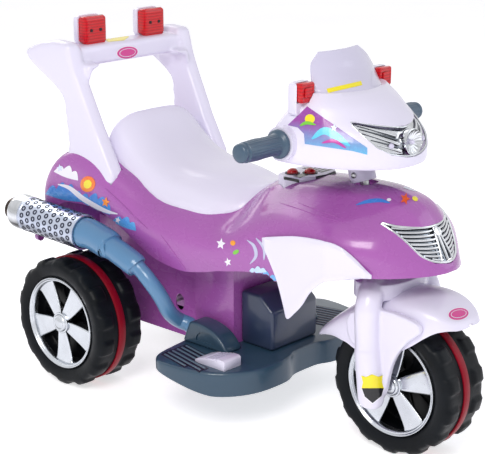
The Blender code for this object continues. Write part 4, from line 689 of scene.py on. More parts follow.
def seat_ring(station, inset, drop):
    y, width, middle_z, near_z, far_z, edge_z = station
    half = [
        (0.0, y, middle_z - inset),
        (width * 0.49, y, near_z - inset),
        (width * 0.82 - inset * 0.5, y, far_z - inset),
        (width - inset, y, edge_z + 0.2 * (far_z - edge_z)),
    ]
    return mirrored(smooth_line(half, 5) + [Vector((width - inset, y, edge_z - SEAT_SKIRT - drop))])


def seat_solid(inset, drop, ends):
    """The saddle's form; ends moves its front and rear faces inwards."""
    stations = [list(station) for station in SEAT_STATIONS]
    stations[0][0] -= ends
    stations[-1][0] += ends
    return loft([seat_ring(station, inset, drop) for station in smooth_line(stations, 4)])


def body_and_seat():
    """The hollow body with its openings, and the saddle in it."""
    inner = [list(station) for station in BODY_STATIONS[:-1]]
    inner[0][0] -= BODY_HOLLOW_INSET
    low, high = HOOP_LEG_X[0] - GAP, HOOP_LEG_X[1] + GAP
    cuts = [
        body_solid(BODY_HOLLOW_INSET, 0.06, inner),
        seat_solid(-GAP, GAP, -GAP),
        prism(closed_half(DASH, -0.0008), 2, 0.44, 0.5),
        rod(steer_point(0.44), steer_point(0.52), 0.0245),
        prism(closed_half(MOUTH, 0.0), 1, -0.54, -0.376),
        prism(HOOP_FOOT_OUTLINE, 0, low, high),
        prism(HOOP_FOOT_OUTLINE, 0, -high, -low),
    ]
    steps = [("BEVEL", (0.005, 3, 50.0))] + [("DIFFERENCE", cut) for cut in cuts]
    body = piece("body_shell", body_solid(), PINK_PLASTIC, "chassis", steps, 35.0)
    steps = [("BEVEL", (0.005, 3, 45.0)), ("DIFFERENCE", seat_solid(WALL, 0.03, WALL))]
    saddle = seat_solid(0.0, 0.0, 0.0)
    piece("seat", saddle, WHITE_PLASTIC, "chassis", steps, 35.0)
    return body


def value_between(rows, key):
    """The value at a key, from rows of key and value, straight between the rows."""
    rows = sorted(rows)
    if key <= rows[0][0]:
        return rows[0][1]
    for low, high in zip(rows, rows[1:]):
        if key <= high[0]:
            return low[1] + (key - low[0]) / (high[0] - low[0]) * (high[1] - low[1])
    return rows[-1][1]


def body_half_width(y, z):
    """How far out the body's side is."""
    columns = [value_between([(row[0], row[column]) for row in BODY_STATIONS], y) for column in range(2, 8)]
    shoulder_x, shoulder_z, side_x, side_z, hem_x, hem_z = columns
    return value_between(((hem_z, hem_x), (side_z, side_x), (shoulder_z, shoulder_x)), z)


def fin_ring(sign, station, along):
    """Across a leg shield: its inner and outer points, with the border raised."""
    y, low, high = station
    inner = []
    outer = []
    for row in range(FIN_ROWS + 1):
        z = low + (high - low) * row / FIN_ROWS
        x = body_half_width(y, z) + FIN_STAND_OFF
        edge = min(row, FIN_ROWS - row, along)
        raised = 0.0012 if 0.5 <= edge <= 1.5 else 0.0
        thickness = 0.0022 if edge < 0.5 else 0.004 + raised
        inner.append(Vector((sign * x, y, z)))
        outer.append(Vector((sign * (x + thickness), y, z)))
    return inner + outer[::-1]


def side_fins():
    """White leg shields with a raised, rounded border."""
    stations = smooth_line(FIN_STATIONS, 4)
    last = len(stations) - 1
    for side, sign in SIDES:
        rings = [fin_ring(sign, station, min(number, last - number) / 3.0)
                 for number, station in enumerate(stations)]
        piece(f"side_fin_{side}", loft(rings), WHITE_PLASTIC, "chassis", smooth=50.0)


def copied(node, extra=None):
    """A node's own form, added to another solid where one is given."""
    bm = extra or bmesh.new()
    bm.from_mesh(NODES[node].data)
    bmesh.ops.transform(bm, matrix=NODES[node].matrix_world, verts=bm.verts)
    bmesh.ops.translate(bm, verts=bm.verts, vec=-SHIFT)
    bmesh.ops.remove_doubles(bm, verts=bm.verts, dist=0.00002)
    return bm


def hoop_gussets():
    """The rounded corners of the window, under the bar."""
    bm = bmesh.new()
    x, z, reach = 0.1345, 0.6275, 0.026
    for sign in (-1, 1):
        outline = [(sign * (x + 0.003), z + 0.003), (sign * (x + 0.003), z - reach)]
        for step in range(9):
            turn = math.radians(90.0 * step / 8)
            outline.append((sign * (x - reach + reach * math.cos(turn)), z - reach + reach * math.sin(turn)))
        outline.append((sign * (x - reach), z + 0.003))
        add(bm, prism(outline, 1, 0.313, 0.352))
    return bm


# The hoop's lamps: width, depth and height, then x, z of their bottom and y of their front face
HOOP_LAMP_SIZE = (0.057, 0.023, 0.057)
HOOP_LAMP_X, HOOP_LAMP_Z, HOOP_LAMP_Y = 0.08, 0.6623, 0.319


def hoop():
    """The blow-moulded hoop, softly rounded all over, and its two lamps."""
    steps = [("REMESH", 0.0032), ("SMOOTH", 26), ("DISPLACE", 0.0022)]
    form = copied("rear_hoop", hoop_gussets())
    hoop_obj = piece("rear_hoop", form, WHITE_PLASTIC, "chassis", steps, 80.0)
    width, depth, height = HOOP_LAMP_SIZE
    z = HOOP_LAMP_Z + height / 2
    face = ((depth, 0.9), (0.006, 1.0), (0.002, 0.95), (0.0, 0.8), (0.0006, 0.55))
    shell = ((0.0, 1.0), (0.009, 1.0), (0.014, 0.93), (0.017, 0.75))
    dot = ((0.0015, 1.0), (-0.0008, 0.8))
    for side, sign in SIDES:
        x = sign * HOOP_LAMP_X
        spots = joined([pillow((x + step, z), 0.0065, 0.0065, offset(dot, HOOP_LAMP_Y))
                        for step in (-0.012, 0.012)])
        trim(f"hoop_lamp_spots_{side}", spots, BLACK_PLASTIC, "chassis")
        front = pillow((x, z), width, height, offset(face, HOOP_LAMP_Y))
        piece(f"hoop_lamp_lens_{side}", front, RED_LENS, "chassis")
        back = pillow((x, z), width, height, offset(shell, HOOP_LAMP_Y + depth + GAP))
        piece(f"hoop_lamp_base_{side}", back, WHITE_PLASTIC, "chassis")
    return hoop_obj


def rounded(value, corner):
    """A sine or cosine made into a coordinate of a square of half width 1 with round corners."""
    flat = math.copysign(1.0 - corner, value) if abs(value) > 1e-9 else 0.0
    return flat + corner * value


def pillow(centre, width, height, stages, corner=0.28):
    """A rounded square form: stages are y and the share of the full size."""
    outline = []
    for quarter in range(4):
        for step in range(7):
            turn = math.radians(90.0 * quarter + 15.0 * step)
            outline.append((rounded(math.cos(turn), corner), rounded(math.sin(turn), corner)))
    rings = []
    for y, share in stages:
        rings.append([Vector((centre[0] + u * width / 2 * share, y, centre[1] + v * height / 2 * share))
                      for u, v in outline])
    return loft(rings)


# Wheels

# From the tyre's side to its middle: distance along the axle, radius, share of the lugs' height
TYRE_SIDE = ((-0.0495, 0.0935, 0.0), (-0.0535, 0.0985, 0.0), (-0.0558, 0.106, 0.0), (-0.0565, 0.113, 0.05),
             (-0.056, 0.1175, 0.2), (-0.054, 0.1205, 0.5), (-0.05, 0.123, 0.85), (-0.045, 0.1242, 1.0),
             (-0.038, 0.1245, 1.0), (-0.03, 0.1245, 1.0), (-0.025, 0.1245, 0.95), (-0.022, 0.1245, 0.7),
             (-0.0195, 0.1245, 0.15), (-0.018, 0.1245, 0.0), (-0.009, 0.1245, 0.0))
LUG_COUNT = 14
LUG_HEIGHT = 0.0055
LUG_PITCH = 2.0 * math.pi / LUG_COUNT
# A lug's half width at its foot and the width of its flank, as angles
LUG_FOOT, LUG_FLANK = math.radians(7.6), math.radians(2.6)
BAND_RADIUS = 0.1248
BAND_SIDE = ((-0.0085, 0.0), (-0.0085, 0.002), (-0.007, 0.003))
RIM_HALF = 0.0545
SPOKES = 5
# Along a spoke: distance from the axle, half width, depth of its face below the rim's edge
SPOKE_SECTIONS = mm(
    (14, 9.5, 6), (26, 13, 7.2), (42, 16.5, 8.8), (58, 19.5, 9.8), (74, 22.5, 9.8), (87.5, 25, 8),
)
# Across a spoke: share of its half width, height over its face
SPOKE_EDGE = ((-1.0, -0.006), (-1.0, -0.002), (-0.95, -0.0006), (-0.86, 0.0), (-0.5, -0.0004), (0.0, -0.0006),
              (0.5, -0.0004), (0.86, 0.0), (0.95, -0.0006), (1.0, -0.002), (1.0, -0.006))
# Rim's lip and hub cap: distance out from the rim's edge, and radius
RIM_LIP = mm((-16, 93), (-2, 93), (-0.4, 92.2), (0, 90.8), (-0.8, 89.5), (-2.4, 88.8), (-2.8, 87.8),
             (-2.4, 86.6), (-3.6, 85.2), (-8, 84.2), (-16, 83.8))
RIM_HUB = mm((-22, 0), (-22, 15), (-12, 19), (-5, 21.5), (-3.5, 21.2), (-2.8, 20), (-3, 18), (-0.8, 17.2),
             (1, 15.8), (1.6, 14), (1, 12.2), (2, 10.8), (3.4, 8), (4.2, 4), (4.5, 0))


def lug_rise(turn):
    """From 0 in a valley to 1 on a lug."""
    off = abs((turn + LUG_PITCH / 2) % LUG_PITCH - LUG_PITCH / 2)
    share = min(max((LUG_FOOT - off) / LUG_FLANK, 0.0), 1.0)
    return share * share * (3.0 - 2.0 * share)


def tyre(name, centre):
    whole = list(TYRE_SIDE) + [(-x, radius, weight) for x, radius, weight in reversed(TYRE_SIDE)]
    weights = {x: weight for x, radius, weight in whole}

    def swing(distance, radius, turn):
        return radius + LUG_HEIGHT * weights[distance] * lug_rise(turn)
    bm = turned([row[:2] for row in whole], centre, X_AXIS, LUG_COUNT * 16, swing=swing)
    piece(f"{name}_tyre", bm, TYRE, name, smooth=55.0)
    half = offset(BAND_SIDE, 0.0, BAND_RADIUS)
    profile = half + [(-x, radius) for x, radius in reversed(half)]
    piece(f"{name}_band", turned(profile, centre, X_AXIS, 112), BAND, name)


def wheel_point(centre, along, radius, angle, sideways=0.0):
    """A point from its distance along the axle, radius, angle from straight down and step sideways."""
    out = Vector((0.0, math.sin(angle), -math.cos(angle)))
    side = Vector((0.0, math.cos(angle), math.sin(angle)))
    return Vector(centre) + Vector((along, 0.0, 0.0)) + out * radius + side * sideways


def sided(profile, sign, length=0.0):
    """A profile moved along the axle and turned to one side of the wheel."""
    return [(sign * x, radius) for x, radius in offset(profile, length)]


def spoke_ring(centre, sign, angle, section):
    """Across one spoke; near the rim its ends follow the rim's round."""
    distance, width, depth = section
    ring = []
    for share, rise in SPOKE_EDGE:
        radius = distance
        if distance > 0.08:
            radius = math.sqrt(max(distance ** 2 - (share * width) ** 2, 0.0))
        ring.append(wheel_point(centre, sign * (RIM_HALF - depth + rise), radius, angle, share * width))
    return ring


def rim_side(centre, sign, phase):
    """One spoked face: lip, spokes and ringed hub cap."""
    bm = turned(sided(RIM_LIP, sign, RIM_HALF), centre, X_AXIS, 96)
    add(bm, turned(sided(RIM_HUB, sign, RIM_HALF), centre, X_AXIS, 64, closed_profile=False))
    for index in range(SPOKES):
        angle = phase + 2.0 * math.pi * index / SPOKES
        sections = smooth_line(SPOKE_SECTIONS, 3)
        add(bm, loft([spoke_ring(centre, sign, angle, section) for section in sections]))
    return bm


# The dark barrel of a rear wheel with one spoked face, and of the front wheel with two; then from
# where to where its raised rays reach
REAR_BARREL = ((-0.0545, 0.093), (0.0375, 0.093), (0.0375, 0.0845), (0.0245, 0.0835), (0.0205, 0.08),
               (0.0185, 0.02), (0.0185, 0.0145), (0.0315, 0.014), (0.0315, 0.0056), (-0.0545, 0.0056),
               (-0.0545, 0.014), (0.0125, 0.0145), (0.0125, 0.078), (-0.0505, 0.084), (-0.0545, 0.088))
FRONT_BARREL = ((-0.0375, 0.093), (0.0375, 0.093), (0.0375, 0.0845), (0.006, 0.0835), (0.003, 0.08),
                (0.003, 0.0145), (0.0335, 0.014), (0.0335, 0.0056), (-0.0335, 0.0056), (-0.0335, 0.014),
                (-0.003, 0.0145), (-0.003, 0.08), (-0.006, 0.0835), (-0.0375, 0.0845))
REAR_REACH = (0.0185, 0.0225)
FRONT_REACH = (0.003, 0.006)
RAY_RADII = (0.018, 0.08)


def wheel(name, centre, sides, phase, barrel, reach):
    """Tyre, band, chrome rim and the dark barrel behind the spokes."""
    tyre(name, centre)
    rim = add(*[rim_side(centre, sign, phase) for sign in sides])
    piece(f"{name}_rim", rim, SPOKE_CHROME, name, smooth=45.0)
    well = turned(sided(barrel, sides[0]), centre, X_AXIS, 64)
    section = ((reach[0], -0.002), (reach[1], -0.0015), (reach[1], 0.0015), (reach[0], 0.002))
    for index in range(SPOKES * 2):
        angle = phase + math.pi * (index + 0.5) / SPOKES
        for sign in sides:
            add(well, loft([[wheel_point(centre, sign * x, radius, angle, side) for x, side in section]
                            for radius in RAY_RADII]))
    trim(f"{name}_well", well, WELL_PLASTIC, name)


def wheels():
    for side, sign in reversed(SIDES):
        centre = Vector((sign * REAR_AXLE.x, REAR_AXLE.y, REAR_AXLE.z))
        wheel(f"rear_wheel_{side}", centre, (sign,), 0.0, REAR_BARREL, REAR_REACH)
    wheel("front_wheel", FRONT_AXLE, (1, -1), math.pi / SPOKES, FRONT_BARREL, FRONT_REACH)


# Exhausts

SLEEVE_X = 0.1935
SLEEVE_RADIUS = 0.035
SLEEVE_FRONT = (0.24, 0.3143)
SLEEVE_REAR = (0.408, 0.3205)
SLEEVE_COLUMNS, SLEEVE_ROUND = 9, 15
# The sleeve's ends and the bell: distance along, and radius over the sleeve's own
SLEEVE_FRONT_END = mm((0, -3), (0, 0), (2, 0.6), (5, 0.6), (6, -0.4))
SLEEVE_REAR_END = mm((-6, -0.4), (-5, 0.6), (0, 0.6), (0, -3))
BELL_OUTSIDE = mm((0, -2), (0.8, 0), (10, 1.2), (20, 1.6), (28, 0.6), (32.5, -1.2), (34, -3), (32.5, -5),
                  (20, -6.5))
# A printed ring on the sleeve: radius of the ring, and height over the sleeve
SLEEVE_RING = mm((5.6, -0.8), (5.3, 0.3), (2.8, 0.3), (2.5, -0.8))
OUTLET_RADIUS = 0.022
OUTLET_OUTSIDE = mm((0, 0), (64, 0), (68, 0.4), (71.5, 1.4), (74, 1), (74.5, -0.2), (73.5, -2.4),
                    (66, -3), (0, -3))
PEG = mm((0, 0), (0, 8.5), (10, 8.5), (12.5, 7), (13, 0))
BOOT_MOUTH_X = 0.1165
# Pipe: share of the way out from the boot's mouth to the sleeve, y, z and radius
PIPE_PATH = (
    (0.96, 0.214, 0.311, 0.029), (0.95, 0.179, 0.302, 0.029), (0.95, 0.1755, 0.3008, 0.0275),
    (0.95, 0.1735, 0.3, 0.0235), (0.915, 0.138, 0.2868, 0.0235), (0.883, 0.108, 0.2747, 0.023),
    (0.879, 0.1045, 0.2732, 0.0205), (0.873, 0.1, 0.2706, 0.015), (0.845, 0.083, 0.2575, 0.015),
    (0.8, 0.071, 0.244, 0.015), (0.72, 0.062, 0.229, 0.015), (0.61, 0.054, 0.208, 0.015),
    (0.49, 0.0505, 0.188, 0.015), (0.3, 0.0505, 0.172, 0.015), (0.11, 0.048, 0.1605, 0.015),
)
# Boot from the side: distance ahead of its rear foot, and height above the footboard
BOOT_OUTLINE = mm(
    (0, 0), (17, 40), (23, 43.5), (33, 44.5), (54, 43), (76, 37.5), (93, 29), (106, 18), (114, 7), (116, 0),
)
BOOT_REAR_Y = 0.032
BOOT_X = (0.092, 0.136)
# Where the pipe meets the boot's rear slope: share of the way up it
BOOT_MOUTH_SHARE = 0.57
BOARD_TOP_Z = 0.127


def sleeve_circle(centre, along, out, radius, rise):
    """A circle bent round the sleeve."""
    around = along.cross(out)
    ring = []
    for step in range(14):
        spin = 2.0 * math.pi * step / 14
        slip = radius * math.sin(spin) / SLEEVE_RADIUS
        outwards = out * math.cos(slip) + around * math.sin(slip)
        ring.append(centre + along * (radius * math.cos(spin)) + outwards * (SLEEVE_RADIUS + rise))
    return ring


def sleeve(side, front, along, length):
    """The silver sleeve, with rows of printed rings round it."""
    wall = offset(SLEEVE_FRONT_END, 0.0, SLEEVE_RADIUS) + offset(SLEEVE_REAR_END, length, SLEEVE_RADIUS)
    bm = turned(wall, front, along, 64)
    rings = bmesh.new()
    upwards = across(along)
    other = along.cross(upwards)
    pitch = (length - 0.01) / SLEEVE_COLUMNS
    for column in range(SLEEVE_COLUMNS):
        centre = front + along * (0.005 + pitch * (column + 0.5))
        for index in range(SLEEVE_ROUND):
            turn = 2.0 * math.pi * (index + 0.5 * (column % 2)) / SLEEVE_ROUND
            out = math.cos(turn) * upwards + math.sin(turn) * other
            add(rings, loft([sleeve_circle(centre, along, out, *size) for size in SLEEVE_RING], cap=False))
    piece(f"muffler_sleeve_{side}", bm, SLEEVE_CHROME, "chassis")
    trim(f"muffler_rings_{side}", rings, RING_NAVY, "chassis")


def exhaust(side, sign):
    """Sleeve, bell, outlet, stepped pipe and the boot on the footboard."""
    front = Vector((sign * SLEEVE_X, *SLEEVE_FRONT))
    rear = Vector((sign * SLEEVE_X, *SLEEVE_REAR))
    along = (rear - front).normalized()
    sleeve(side, front, along, (rear - front).length)
    wall = offset(BELL_OUTSIDE, 0.0, SLEEVE_RADIUS)
    wall += offset(((0.008, 0.004), (0.006, GAP), (0.0, GAP)), 0.0, OUTLET_RADIUS)
    bell = turned(wall, rear + along * GAP, along, 64)
    piece(f"muffler_bell_{side}", bell, CHROME, "chassis")
    outlet = turned(offset(OUTLET_OUTSIDE, 0.0, OUTLET_RADIUS), rear - along * 0.02, along, 56)
    reach = OUTLET_RADIUS - 0.0025
    floor = ((0.0, 0.0), (0.002, 0.0), (0.002, reach), (0.0, reach))
    add(outlet, turned(floor, rear + along * 0.012, along, 40, closed_profile=False))
    piece(f"exhaust_outlet_{side}", outlet, BRONZE, "chassis")
    pipe(side, sign, front, along)
    boot(side, sign)
    peg = turned(PEG, Vector((sign * 0.15, 0.43, 0.258)), (0, 1, 0), 24, closed_profile=False)
    trim(f"tail_peg_{side}", peg, PINK_PLASTIC, "chassis")


def pipe(side, sign, front, along):
    end = front + along * 0.01
    path = [(*end, 0.027), (*front, 0.027), (front.x, front.y - 0.001, front.z, 0.03),
            (front.x, front.y - 0.004, front.z - 0.0002, 0.0302)]
    for share, y, z, radius in PIPE_PATH:
        path.append((sign * (BOOT_MOUTH_X + share * (SLEEVE_X - BOOT_MOUTH_X)), y, z, radius))
    low, high = BOOT_OUTLINE[:2]
    mouth = Vector((sign * BOOT_MOUTH_X, BOOT_REAR_Y - BOOT_MOUTH_SHARE * high[0],
                    BOARD_TOP_Z + GAP + BOOT_MOUTH_SHARE * high[1]))
    outwards = Vector((0.0, high[1] - low[1], high[0] - low[0])).normalized()
    path += [(*(mouth + outwards * distance), 0.015) for distance in (0.012, 0.006, GAP)]
    bm = swept(path, 4, 32)
    piece(f"exhaust_pipe_{side}", bm, PIPE_PLASTIC, "chassis", smooth=50.0)


def boot(side, sign):
    """The arched cover with a D-shaped recess on its outer face."""
    arch = [Vector(BOOT_OUTLINE[0])] + smooth_line(BOOT_OUTLINE[1:-1], 3) + [Vector(BOOT_OUTLINE[-1])]
    bottom = BOARD_TOP_Z + GAP
    outline = [(BOOT_REAR_Y - point[0], bottom + point[1]) for point in arch]
    cover = prism(outline, 0, *sorted(sign * x for x in BOOT_X))
    middle = Vector((BOOT_REAR_Y - 0.062, bottom + 0.017))
    recess = []
    for step in range(20):
        turn = math.pi * step / 19
        recess.append((middle.x + 0.026 * math.cos(turn), middle.y - 0.006 + 0.02 * math.sin(turn)))
    face = sign * BOOT_X[1]
    reach = sorted((face - sign * 0.0025, face + sign * 0.01))
    steps = [("BEVEL", (0.005, 4, 40.0)), ("DIFFERENCE", prism(recess, 0, *reach))]
    piece(f"exhaust_boot_{side}", cover, BOARD_PLASTIC, "chassis", steps)


# Footboard from above: x and y of its right half
BOARD_HALF = mm(
    (0, -163), (35, -165), (72, -178), (140, -176), (188, -156), (220, -122), (236, -80), (242, -20),
    (232, 6), (205, 22), (130, 34), (100, 45.5), (0, 45.5),
)
PEDAL_X, PEDAL_REAR_Y = -0.174, -0.062
PEDAL_WIDTH, PEDAL_LENGTH = 0.045, 0.074
PEDAL_PLAY = 0.001
TREAD_LEAN = math.tan(math.radians(12.0))
# The ribs underfoot by side, as x, front and rear y: the right side's go round the pedal
TREADS = {
    -1: mm((151, -56, 8), (162.5, -56, 8), (174, -56, 8), (186.5, -102, 8), (198, -100, 8), (209.5, -66, 6)),
    1: mm((100, -156, -34), (112, -156, -30), (124, -156, -26), (136, -154, -22), (148, -148, -18),
          (160, -138, -14), (172, -126, -10), (184, -108, -6)),
}
# Along a rib: how far in from its end, and share of its full section
TREAD_ENDS = ((0.0, 0.3), (0.001, 0.8), (0.003, 1.0))
# Console between the feet: half width and wall, then y and z from the side, outside and inside
CONSOLE_HALF = 0.066
CONSOLE_WALL = 0.0025
CONSOLE_OUTLINE = ((-0.137, BOARD_TOP_Z + GAP), (-0.137, 0.204), (-0.104, 0.232), (-0.056, 0.232),
                   (-0.056, BOARD_TOP_Z + GAP))
CONSOLE_INSIDE = ((-0.1345, 0.1), (-0.1345, 0.2025), (-0.1025, 0.2295), (-0.0585, 0.2295), (-0.0585, 0.1))


def board_ring(inset, z=None):
    ring = []
    for point in mirrored(smooth_line(BOARD_HALF, 4)):
        pull_x = math.copysign(inset, point.x) if abs(point.x) > 0.01 else 0.0
        pull_y = math.copysign(inset, point.y + 0.065)
        hem = value_between(((-0.125, 0.081), (0.0, 0.108), (0.05, 0.108)), point.y)
        ring.append(Vector((point.x - pull_x, point.y - pull_y, hem if z is None else z)))
    return ring


def footboard():
    """The tray with fore-and-aft treads beside the boots, painted lighter as highlight over dark fields of
    painted shade, and the console between the feet.
    """
    top = BOARD_TOP_Z
    rings = [board_ring(inset, top - drop) for inset, drop in
             ((0.005, 0.0), (0.0028, 0.0004), (0.001, 0.0018), (0.0, 0.0045), (0.0, 0.012))]
    rings += [board_ring(0.0), board_ring(WALL), board_ring(WALL, top - WALL)]
    opening = box((PEDAL_X - PEDAL_WIDTH / 2 - PEDAL_PLAY, PEDAL_REAR_Y - PEDAL_LENGTH - PEDAL_PLAY, 0.11),
                  (PEDAL_X + PEDAL_WIDTH / 2 + PEDAL_PLAY, PEDAL_REAR_Y + PEDAL_PLAY, 0.14))
    steps = [("DIFFERENCE", opening)]
    piece("footboard", loft(rings), BOARD_PLASTIC, "chassis", steps, 35.0)
    treads = bmesh.new()
    pads = bmesh.new()
    for sign in (-1, 1):
        for x, low_y, high_y in TREADS[sign]:
            add(treads, tread(sign * x, low_y, high_y, sign * TREAD_LEAN))
            add(pads, tread_shade_pad(sign, x - 0.0062, x + 0.0062, low_y - 0.004, high_y + 0.004))
    # Ribs lighter as painted highlight, fields under them dark as painted shade and reflection
    trim("footboard_treads", treads, TREAD_HIGHLIGHT_PLASTIC, "chassis")
    trim("footboard_tread_shade_pads", pads, TREAD_SHADE_PLASTIC, "chassis")
    console = prism(CONSOLE_OUTLINE, 0, -CONSOLE_HALF, CONSOLE_HALF)
    hollow = prism(CONSOLE_INSIDE, 0, CONSOLE_WALL - CONSOLE_HALF, CONSOLE_HALF - CONSOLE_WALL)
    steps = [("BEVEL", (0.007, 4, 30.0)), ("DIFFERENCE", hollow)]
    piece("battery_box", console, BOX_PLASTIC, "chassis", steps)


def tread(x, low_y, high_y, lean):
    """One raised rib with rounded ends and top, which runs outwards to the front."""
    places = [(low_y + step, share) for step, share in TREAD_ENDS]
    places += [(high_y - step, share) for step, share in reversed(TREAD_ENDS)]
    rings = []
    for y, share in places:
        half, rise = 0.0026 * share, 0.0018 * share
        section = ((-half, -0.001), (-half, 0.4 * rise), (-0.6 * half, 0.85 * rise), (0.0, rise),
                   (0.6 * half, 0.85 * rise), (half, 0.4 * rise), (half, -0.001))
        rings.append([Vector((x + u + lean * (high_y - y), y, BOARD_TOP_Z + v)) for u, v in section])
    return loft(rings)


def tread_shade_pad(sign, low_x, high_x, low_y, high_y):
    """The dark field that a row of ribs stands in: painted shade and reflection of the pink body on the
    board's top.
    """
    lean = TREAD_LEAN * (high_y - low_y)
    corners = ((low_x, high_y), (high_x, high_y), (high_x + lean, low_y), (low_x + lean, low_y))
    return prism([(sign * x, y) for x, y in corners], 2, BOARD_TOP_Z - 0.001, BOARD_TOP_Z + 0.0004)


# Red buttons: body, node, x and y
BUTTON_PLACES = (("button_front", "dash_button_front", -0.013, -0.179),
                 ("button_rear", "dash_button_rear", -0.036, -0.157))
BUTTON_SIDE = mm((-8, 0), (-8, 10.5), (1, 10.5), (3.5, 10.1), (5.8, 9), (7.8, 6.8), (9, 4), (9.4, 0))
BUTTON_COLLAR = mm((0, 11.2), (1.2, 11.4), (1.6, 12.5), (1.2, 13.8), (0, 14.2))
DASH_SIDES = (("rear", ((283.5, 176.5), (299, 179.5), (299, 182.5), (284, 179.5))),
              ("front", ((315.5, 176.5), (327.5, 174.2), (327.5, 178), (316, 180.5))))


def dash():
    """The switch panel with its inlays, and the two red buttons."""
    form = prism(closed_half(DASH, 0.0), 2, 0.442, DASH_TOP_Z)
    cuts = [prism(closed_half(DASH, 0.0032), 2, 0.43, DASH_TOP_Z - 0.0025)]
    cuts += [rod((x, y, 0.43), (x, y, 0.49), 0.011) for body, node, x, y in BUTTON_PLACES]
    steps = [("BEVEL", (0.003, 3, 30.0))] + [("DIFFERENCE", cut) for cut in cuts]
    panel = piece("dash_panel", form, WHITE_PLASTIC, "chassis", steps)
    collars = bmesh.new()
    for body, node, x, y in BUTTON_PLACES:
        add(collars, turned(BUTTON_COLLAR, Vector((x, y, DASH_TOP_Z - 0.0002)), (0, 0, 1), 40))
        button = turned(BUTTON_SIDE, Vector((x, y, DASH_TOP_Z)), (0, 0, 1), 40, closed_profile=False)
        piece(node, button, RED_LENS, body)
    trim("dash_button_collars", collars, BLACK_PLASTIC, "chassis")
    top = DASH_TOP_Z - 0.0003
    fields = ((0.004, -0.193, 0.04, -0.146), (-0.052, -0.188, -0.028, -0.172))
    inlay = joined([box((x, y, top), (far_x, far_y, top + 0.0007)) for x, y, far_x, far_y in fields])
    trim("dash_inlays", inlay, INKS["black"], "chassis")
    dash_skin = Skin(panel)
    for part, outline in DASH_SIDES:
        sticker(f"dash_side_{part}", dash_skin, outline, INKS["black"], "chassis", 0)
    lines = [-0.187 + 0.009 * index for index in range(5)]
    marks = joined([box((0.008, y, top + 0.0004), (0.036, y + 0.0022, top + 0.001)) for y in lines])
    trim("dash_marks", marks, INKS["white"], "chassis")


def pedal():
    steps = [("BEVEL", (0.0012, 2, 35.0))]
    piece("pedal", copied("pedal"), WHITE_PLASTIC, "drive_pedal", steps, 35.0)


# Steering

FORK_LEG_RADIUS = 0.0235
CROWN_RADIUS = 0.046
# Fork leg from its foot up: x, y and z from the front axle, and share of its radius
LEG_PATH = ((0.0905, 0.011, -0.031, 0.35), (0.0905, 0.011, -0.027, 0.8), (0.0905, 0.0125, -0.012, 1.0),
            (0.0905, 0.0165, 0.02, 1.0), (0.0905, 0.0225, 0.07, 1.0), (0.0905, 0.0228, 0.073, 0.97),
            (0.0905, 0.023, 0.075, 0.92), (0.0905, 0.026, 0.127, 0.95), (0.0865, 0.027, 0.15, 0.98),
            (0.0685, 0.034, 0.174, 0.95))
# Fender: crest y and z, edge y and z, half width
FENDER_STATIONS = mm(
    (-221.2, 175.2, -243.8, 184.7, 40), (-228.6, 188.2, -278.4, 194.6, 58),
    (-247, 208.9, -296.6, 196.2, 67), (-280, 238.1, -317.1, 194.4, 70), (-320, 268, -342, 187, 71),
    (-360, 290, -385, 190, 71), (-400, 302, -425, 203, 71), (-435, 304, -455, 222, 71),
    (-464, 300, -479, 241, 68), (-488, 291, -498, 254, 60), (-508, 280, -515, 259, 48),
    (-520, 273, -525.5, 258.5, 34), (-525.5, 268.5, -530, 259, 18), (-529, 264, -531.2, 260, 6),
)
FENDER_WALL = 0.0028
# Across the fender: shares of the way out and down
FENDER_SECTION = ((0.0, 0.0), (0.45, 0.03), (0.8, 0.14), (0.96, 0.38), (1.0, 1.0))
# The bridge under the crown from above
BRIDGE_PLAN = mm(
    (-80, -372, 0), (-70, -330, 0), (0, -312, 0), (70, -330, 0), (80, -372, 0), (50, -402, 0), (0, -410, 0),
    (-50, -402, 0),
)
# The webs that close the fork's sides, beside the wheel: y and z round them
FORK_WEB = mm(
    (-481.7, 257.9), (-461.8, 238.3), (-441.4, 214.6), (-425.5, 184.4), (-417.9, 156.1), (-410.1, 123.9),
    (-396, 108), (-374, 120), (-362, 190), (-330, 208), (-330, 256), (-400, 278), (-464, 274),
)
FORK_WEB_X = (0.068, 0.082)


def fork_leg(sign):
    crown = steer_point(0.322)
    path = [(x, FRONT_AXLE.y + y, FRONT_AXLE.z + z, FORK_LEG_RADIUS * share) for x, y, z, share in LEG_PATH]
    for x, share in ((0.03, 0.8), (-0.004, 0.65)):
        path.append((x, crown.y, crown.z - 0.006, FORK_LEG_RADIUS * share))
    return swept([(sign * x, y, z, radius) for x, y, z, radius in path], 3, 28)


def fork():
    """Two legs with side webs that meet in a crown, as one soft moulding."""
    bm = add(fork_leg(-1), fork_leg(1), rod(steer_point(0.304), steer_point(0.34), CROWN_RADIUS, 48))
    add(bm, prism(smooth_line(BRIDGE_PLAN, 3, closed=True), 2, 0.288, 0.318))
    web = smooth_line(FORK_WEB, 3, closed=True)
    for sign in (-1, 1):
        add(bm, prism(web, 0, *sorted(sign * x for x in FORK_WEB_X)))
    steps = [("REMESH", 0.0026), ("SMOOTH", 4)]
    return piece("fork", bm, WHITE_PLASTIC, "steering", steps, 80.0)


def fender_ring(station, section):
    crest = Vector((0.0, station[0], station[1]))
    edge = Vector((0.0, station[2], station[3]))
    width = station[4]
    inwards = (Vector((0.0, FRONT_AXLE.y, FRONT_AXLE.z)) - crest).normalized() * FENDER_WALL
    outer = [crest.lerp(edge, down) + Vector((out * width, 0.0, 0.0)) for out, down in section]
    inner = [crest.lerp(edge, down) + inwards * (1.0 - down) + Vector((out * (width - FENDER_WALL), 0.0, 0.0))
             for out, down in section]
    return over_and_back(outer) + over_and_back(inner)[::-1]


def over_and_back(half):
    """A whole line over the middle from its half."""
    return over_x(reversed(half[1:])) + list(half)


